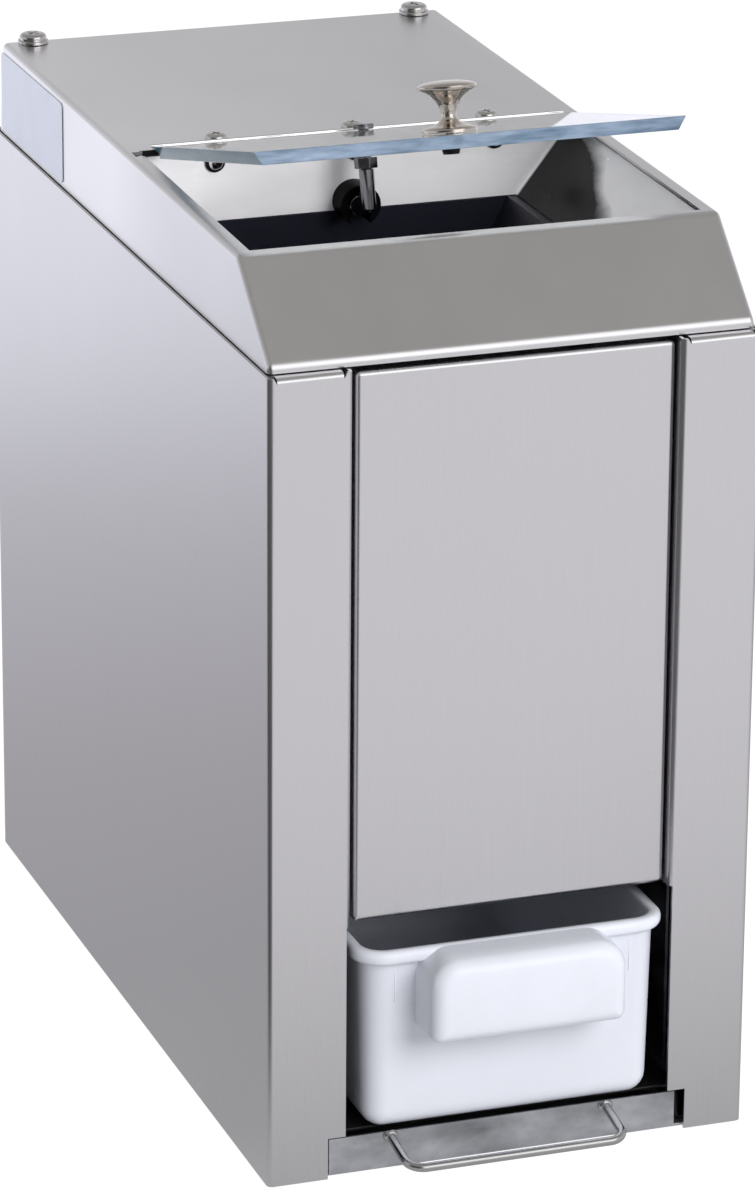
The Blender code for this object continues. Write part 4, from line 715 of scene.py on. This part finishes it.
def make_bin():
    """Moulded tub: foot radius, drawn-in walls, rim bead and the hollow inside."""
    low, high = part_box("ice_bin")
    rim = 3.2 * MILLIMETRE
    length = 178 * MILLIMETRE
    foot = 8 * MILLIMETRE
    wall = 2.0 * MILLIMETRE
    taper = 1.6 * MILLIMETRE
    corner = 10 * MILLIMETRE
    half = high.x - rim
    back = high.y - rim
    front = back - length
    floor = low.z
    top = high.z + BIN_RISE
    rings = []

    def ring(out, z):
        radii = [corner + out] * 4
        points = rounded((-half - out, front - out), (half + out, back + out), radii, BIN_CORNER_STEPS)
        rings.append([(x, y, z) for x, y in points])

    for angle in arc(BIN_FOOT_STEPS):
        ring(-taper - foot * (1 - math.sin(angle)), floor + foot * (1 - math.cos(angle)))
    for out, down in BIN_RIM:
        ring(out * MILLIMETRE, top - down * MILLIMETRE)
    inner = foot - wall
    for angle in arc(BIN_FOOT_STEPS):
        ring(-taper - wall - inner * (1 - math.cos(angle)), floor + wall + inner * (1 - math.sin(angle)))
    shape = bmesh.new()
    loft(shape, rings)
    finish_piece("bin_tub", shape, WHITE, "ice_bin", ["ice_bin"])
    make_cup(low.y, front, top)
    make_mould_lines(front, top)


def make_cup(face, wall, top):
    """Hollow grip on the bin's front, open below, with a crowned front."""
    half = 38.5 * MILLIMETRE
    tall = 32.5 * MILLIMETRE
    drop = 0.2 * MILLIMETRE
    corner = 11 * MILLIMETRE
    lower = 4 * MILLIMETRE
    least = 0.6 * MILLIMETRE
    edge = 5.0 * MILLIMETRE
    crown = 1.1 * MILLIMETRE
    skin = 2.0 * MILLIMETRE
    sink = 0.5 * MILLIMETRE
    lead = 1.5 * MILLIMETRE
    pinch = 1.2 * MILLIMETRE
    middle = top - drop - tall / 2

    def outline(inset, y, bulge):
        radii = [max(radius - inset, least) for radius in (corner, corner, lower, lower)]
        wide = half - inset
        up = tall / 2 - inset
        points = rounded((-wide, middle - up), (wide, middle + up), radii, CUP_CORNER_STEPS)
        return [(x, y - bulge * (1 - ((z - middle) / (tall / 2)) ** 2), z) for x, z in points]

    depth = face + crown
    rings = [outline(0, y, 0) for y in (wall + sink, (wall + depth) / 2, depth + edge)]
    for i, angle in enumerate(arc(CUP_EDGE_STEPS)[1:], 1):
        inset = edge * (1 - math.cos(angle))
        rings.append(outline(inset, depth + edge * (1 - math.sin(angle)), crown * i / CUP_EDGE_STEPS))
    rings += [outline(inset * MILLIMETRE, depth, crown) for inset in CUP_INSETS]
    shape = bmesh.new()
    loft(shape, rings)
    cup = finish_piece("bin_grip", shape, WHITE, "ice_bin")
    inner = []
    for y in (wall - GAP, depth + edge, depth + skin + lead, depth + skin):
        shrink = skin + (pinch if y == depth + skin else 0)
        inner.append([(x * (half - shrink) / half, y, z - shrink - (2 * skin if z < middle else 0))
                      for x, _, z in outline(0, y, 0)])
    hollow = bmesh.new()
    loft(hollow, inner)
    carve(cup, hollow)


def make_mould_lines(front, top):
    """Two faint upright lines that the mould left beside the grip."""
    aside = 46.5 * MILLIMETRE
    half = 0.2 * MILLIMETRE
    inset = 0.25 * MILLIMETRE
    sunk = 1.5 * MILLIMETRE
    low = top - 21 * MILLIMETRE
    high = top - 7.5 * MILLIMETRE
    draft = 0.02 * MILLIMETRE
    for name, x in (("left", -aside), ("right", aside)):
        shape = box_shape((x - half, front + inset, low), (x + half, front + sunk, high))
        for v in shape.verts:
            v.co.y -= draft if v.co.z > (low + high) / 2 else 0
        finish_piece("mould_line_" + name, shape, WHITE, "ice_bin")


# Drip tray

def make_handle():
    """Bent wire on the tray's front plate, with a weld bead at each end."""
    low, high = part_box("tray_handle")
    radius = 1.75 * MILLIMETRE
    corner = 6.5 * MILLIMETRE
    sink = 0.2 * MILLIMETRE
    centre = (low.x + high.x) / 2
    half = (high.x - low.x) / 2 - radius
    start = Vector((0, high.y, high.z - radius))
    end = Vector((0, low.y + radius, low.z + radius))
    fall = (end - start).normalized()
    points = []
    for s in (-1, 1):
        leg = [Vector((centre + s * half, 0, 0)) + start]
        middle = Vector((centre + s * (half - corner), 0, 0)) + end - fall * corner
        leg += [middle + corner * (Vector((s, 0, 0)) * math.cos(a) + fall * math.sin(a))
                for a in arc(BEND_STEPS)]
        points += leg if s < 0 else leg[::-1]
    tube("bail", points, radius, WIRE, "drip_tray", ["tray_handle"])
    for name, s in (("left", -1), ("right", 1)):
        shape = bmesh.new()
        spot = Vector((centre + s * half, start.y - sink, start.z))
        bmesh.ops.create_uvsphere(shape, u_segments=BEAD_AROUND, v_segments=BEAD_RINGS, radius=1,
                                  matrix=Matrix.Translation(spot))
        for v in shape.verts:
            lump = 1 + WELD_LUMP * noise.noise(v.co / MILLIMETRE * WELD_LUMP_SCALE)
            v.co = spot + (v.co - spot) * Vector(WELD_BEAD) * MILLIMETRE * lump
        finish_piece("weld_" + name, shape, WIRE, "drip_tray")


# Label

def make_label():
    """Bare rating plate on the hood's left side, low at its rear end."""
    low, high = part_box("top_hood")
    front = high.y - 94 * MILLIMETRE
    back = high.y - 6 * MILLIMETRE
    floor = low.z + 1.6 * MILLIMETRE
    top = low.z + 34 * MILLIMETRE
    corner = 2.5 * MILLIMETRE
    sunk = 0.05 * MILLIMETRE
    proud = 0.35 * MILLIMETRE
    outline = rounded((front, floor), (back, top), [corner] * 4, LABEL_CORNER_STEPS)
    shape = bmesh.new()
    loft(shape, [[(low.x + depth, y, z) for y, z in outline] for depth in (sunk, -proud)])
    finish_piece("rating_plate", shape, LABEL, "casing", smooth=False)


# Looks of the CAD nodes

LOOKS = {
    "left_side_panel": STEEL_UPRIGHT, "right_side_panel": STEEL_UPRIGHT, "rear_panel": STEEL_UPRIGHT,
    "top_hood": STEEL_ALONG, "hopper": HOPPER_STEEL, "crusher_housing": CHAMBER_BLACK,
    "ice_chute": STEEL_FINE, "base_pan": ZINC, "chassis_bridge": ZINC, "drip_tray": ZINC,
    # The bay's inner zinc parts carry painted shade
    "front_bulkhead": ZINC_PAINTED_SHADE, "tray_rail_left": ZINC_PAINTED_SHADE, "tray_rail_right": ZINC_PAINTED_SHADE,
    "bin_shelf": ZINC_PAINTED_SHADE, "gearbox": PAINT, "motor": PAINT, "interlock_switch": BLACK,
    "switch_guard": GUARD_BLACK, "cable_gland": BLACK, "power_switch_bezel": BLACK,
    # The lid pins are black as painted shade, so that the hood's notches round them read dark
    "power_switch_rocker": BLACK, "knob_screw": BLACK, "lid_pin_left": BLACK, "lid_pin_right": BLACK,
    "interlock_nut": DARK_CHROME, "interlock_rod": DARK_CHROME, "interlock_spacer": DARK_CHROME,
    "switch_plunger": SCREW_STEEL, "front_bearing": HARD, "rear_bearing": HARD, "rotor_shaft": HARD,
    "comb_plate": HARD,
}


def look_for(name):
    if name.startswith("foot_"):
        return RUBBER
    if name.startswith("rotor_blade_"):
        return HARD
    return LOOKS.get(name, SCREW_STEEL)


def dress_nodes():
    """Give each CAD node its finish, smooth rounds and a soft edge."""
    for name, node in NODES.items():
        if node.hide_render:
            continue
        mesh = node.data
        mesh.materials.clear()
        mesh.materials.append(look_for(name))
        mesh.shade_smooth()
        weld = node.modifiers.new("weld", "WELD")
        weld.merge_threshold = WELD
        soften(node)


# Stage, light and camera

def mix_shaders(tree, factor, first, second):
    made = tree.nodes.new("ShaderNodeMixShader")
    for socket, source in zip(made.inputs, (factor, first, second)):
        tree.links.new(source, socket)
    return made.outputs["Shader"]


def level_ramp(tree, source, levels, start, end):
    """Colours by a number between start and end."""
    share = spread(tree, source, 0.0, 1.0, start, end)
    ramp = tree.nodes.new("ShaderNodeValToRGB")
    while len(ramp.color_ramp.elements) < len(levels):
        ramp.color_ramp.elements.new(0.5)
    for element, (place, colour) in zip(ramp.color_ramp.elements, levels):
        element.position = (place - start) / (end - start)
        element.color = (*colour, 1.0)
    tree.links.new(share, ramp.inputs["Fac"])
    return ramp.outputs["Color"]


def far_side(tree, edges):
    """One, but less where a mirror ray goes to the darker near left side of the tent."""
    return calculate(tree, "SUBTRACT", 1.0, within(tree, NEAR_SIDE, edges))


def ray_kinds(tree):
    """Sockets for a ray that metal mirrors, and for one of the camera, also through the lid."""
    rays = tree.nodes.new("ShaderNodeLightPath").outputs
    seen = calculate(tree, "MAXIMUM", rays["Is Camera Ray"], rays["Is Transmission Ray"])
    return rays["Is Glossy Ray"], seen


def make_floor():
    """White to the camera with a soft shadow; metal mirrors it darker beside and before the object, as a
    painted shadow.
    """
    shape = bmesh.new()
    bmesh.ops.create_grid(shape, x_segments=1, y_segments=1, size=FLOOR_HALF)
    mesh = mesh_of("floor", shape)
    mesh.materials.append(plain("floor", FLOOR_COLOUR, 0.9, uneven=0.0, Specular_IOR_Level=0.0))
    tree = mesh.materials[0].node_tree
    matt = tree.nodes["Principled BSDF"]
    white = tree.nodes.new("ShaderNodeEmission")
    white.inputs["Strength"].default_value = FLOOR_GLOW
    glossy, seen = ray_kinds(tree)
    share = calculate(tree, "MULTIPLY", seen, FLOOR_SHARE)
    plain_floor = mix_shaders(tree, share, matt.outputs["BSDF"], white.outputs["Emission"])
    axes = axes_of(tree)
    # Painted shadow for mirror rays: the floor's glow is darker near the object, most of all at its near
    # left
    colour = level_ramp(tree, axes["Y"], FLOOR_LEVELS, FLOOR_LEVELS[0][0], FLOOR_LEVELS[-1][0])
    slanting = calculate(tree, "ADD", axes["Y"], calculate(tree, "MULTIPLY", axes["X"], FLOOR_NEAR_SLANT))
    far = far_side(tree, [(axes["X"], *FLOOR_NEAR_ACROSS), (slanting, *FLOOR_NEAR_ALONG)])
    mirrored = tree.nodes.new("ShaderNodeEmission")
    tree.links.new(dimmed(tree, colour, far), mirrored.inputs["Color"])
    whole = mix_shaders(tree, glossy, plain_floor, mirrored.outputs["Emission"])
    tree.links.new(whole, tree.nodes["Material Output"].inputs["Surface"])
    link_object("floor", mesh)


def make_world():
    """White to the camera and through the lid; metal mirrors a tent that is darker overhead."""
    world = bpy.data.worlds.new("tent")
    bpy.context.scene.world = world
    world.use_nodes = True
    tree = world.node_tree
    soft = tree.nodes["Background"]
    soft.inputs["Color"].default_value = (AMBIENT, AMBIENT, AMBIENT, 1)
    axes = axes_of(tree, "Generated")
    colour = level_ramp(tree, axes["Z"], TENT_LEVELS, 0.0, 1.0)
    far = far_side(tree, on_axes(axes, TENT_NEAR))
    lamp = spread(tree, axes["Z"], 0.0, SOFTBOX, *SOFTBOX_RISE)
    lamp = within(tree, lamp, on_axes(axes, SOFTBOX_EDGES))
    glow = tree.nodes.new("ShaderNodeVectorMath")
    glow.operation = "ADD"
    tree.links.new(dimmed(tree, colour, far), glow.inputs[0])
    tree.links.new(lamp, glow.inputs[1])
    tent = tree.nodes.new("ShaderNodeBackground")
    tree.links.new(glow.outputs["Vector"], tent.inputs["Color"])
    white = tree.nodes.new("ShaderNodeBackground")
    white.inputs["Color"].default_value = (1, 1, 1, 1)
    glossy, seen = ray_kinds(tree)
    lit = mix_shaders(tree, glossy, soft.outputs["Background"], tent.outputs["Background"])
    whole = mix_shaders(tree, seen, lit, white.outputs["Background"])
    tree.links.new(whole, tree.nodes["World Output"].inputs["Surface"])


def make_key_light():
    """One large round lamp at the front right, which no metal mirrors."""
    light = bpy.data.lights.new("key", "AREA")
    light.shape = "DISK"
    light.size = KEY_SIZE
    light.energy = KEY_POWER
    made = link_object("key", light)
    made.location = KEY_PLACE
    made.rotation_euler = (Vector(KEY_TARGET) - Vector(KEY_PLACE)).to_track_quat("-Z", "Y").to_euler()
    made.visible_glossy = False


def make_camera():
    """The camera that took the photograph, from its place and its three angles."""
    level = math.cos(CAMERA_PITCH)
    forward = Vector((math.sin(CAMERA_YAW) * level, math.cos(CAMERA_YAW) * level, -math.sin(CAMERA_PITCH)))
    right = Vector((math.cos(CAMERA_YAW), -math.sin(CAMERA_YAW), 0))
    up = right.cross(forward)
    across = right * math.cos(CAMERA_ROLL) + up * math.sin(CAMERA_ROLL)
    upward = up * math.cos(CAMERA_ROLL) - right * math.sin(CAMERA_ROLL)
    data = bpy.data.cameras.new("camera")
    data.sensor_fit = "VERTICAL"
    data.sensor_height = SENSOR / MILLIMETRE
    data.lens = LENS / MILLIMETRE
    data.clip_start = CLIP_NEAR
    data.clip_end = CLIP_FAR
    made = link_object("camera", data)
    turn = Matrix((across, upward, -forward)).transposed().to_4x4()
    made.matrix_world = Matrix.Translation(CAMERA_PLACE) @ turn
    bpy.context.scene.camera = made


def main():
    make_lid()
    make_knob()
    make_screws()
    make_cover()
    make_bin()
    make_handle()
    make_label()
    dress_nodes()
    make_floor()
    make_world()
    make_key_light()
    make_camera()
    bpy.context.scene.view_settings.view_transform = "Standard"


main()
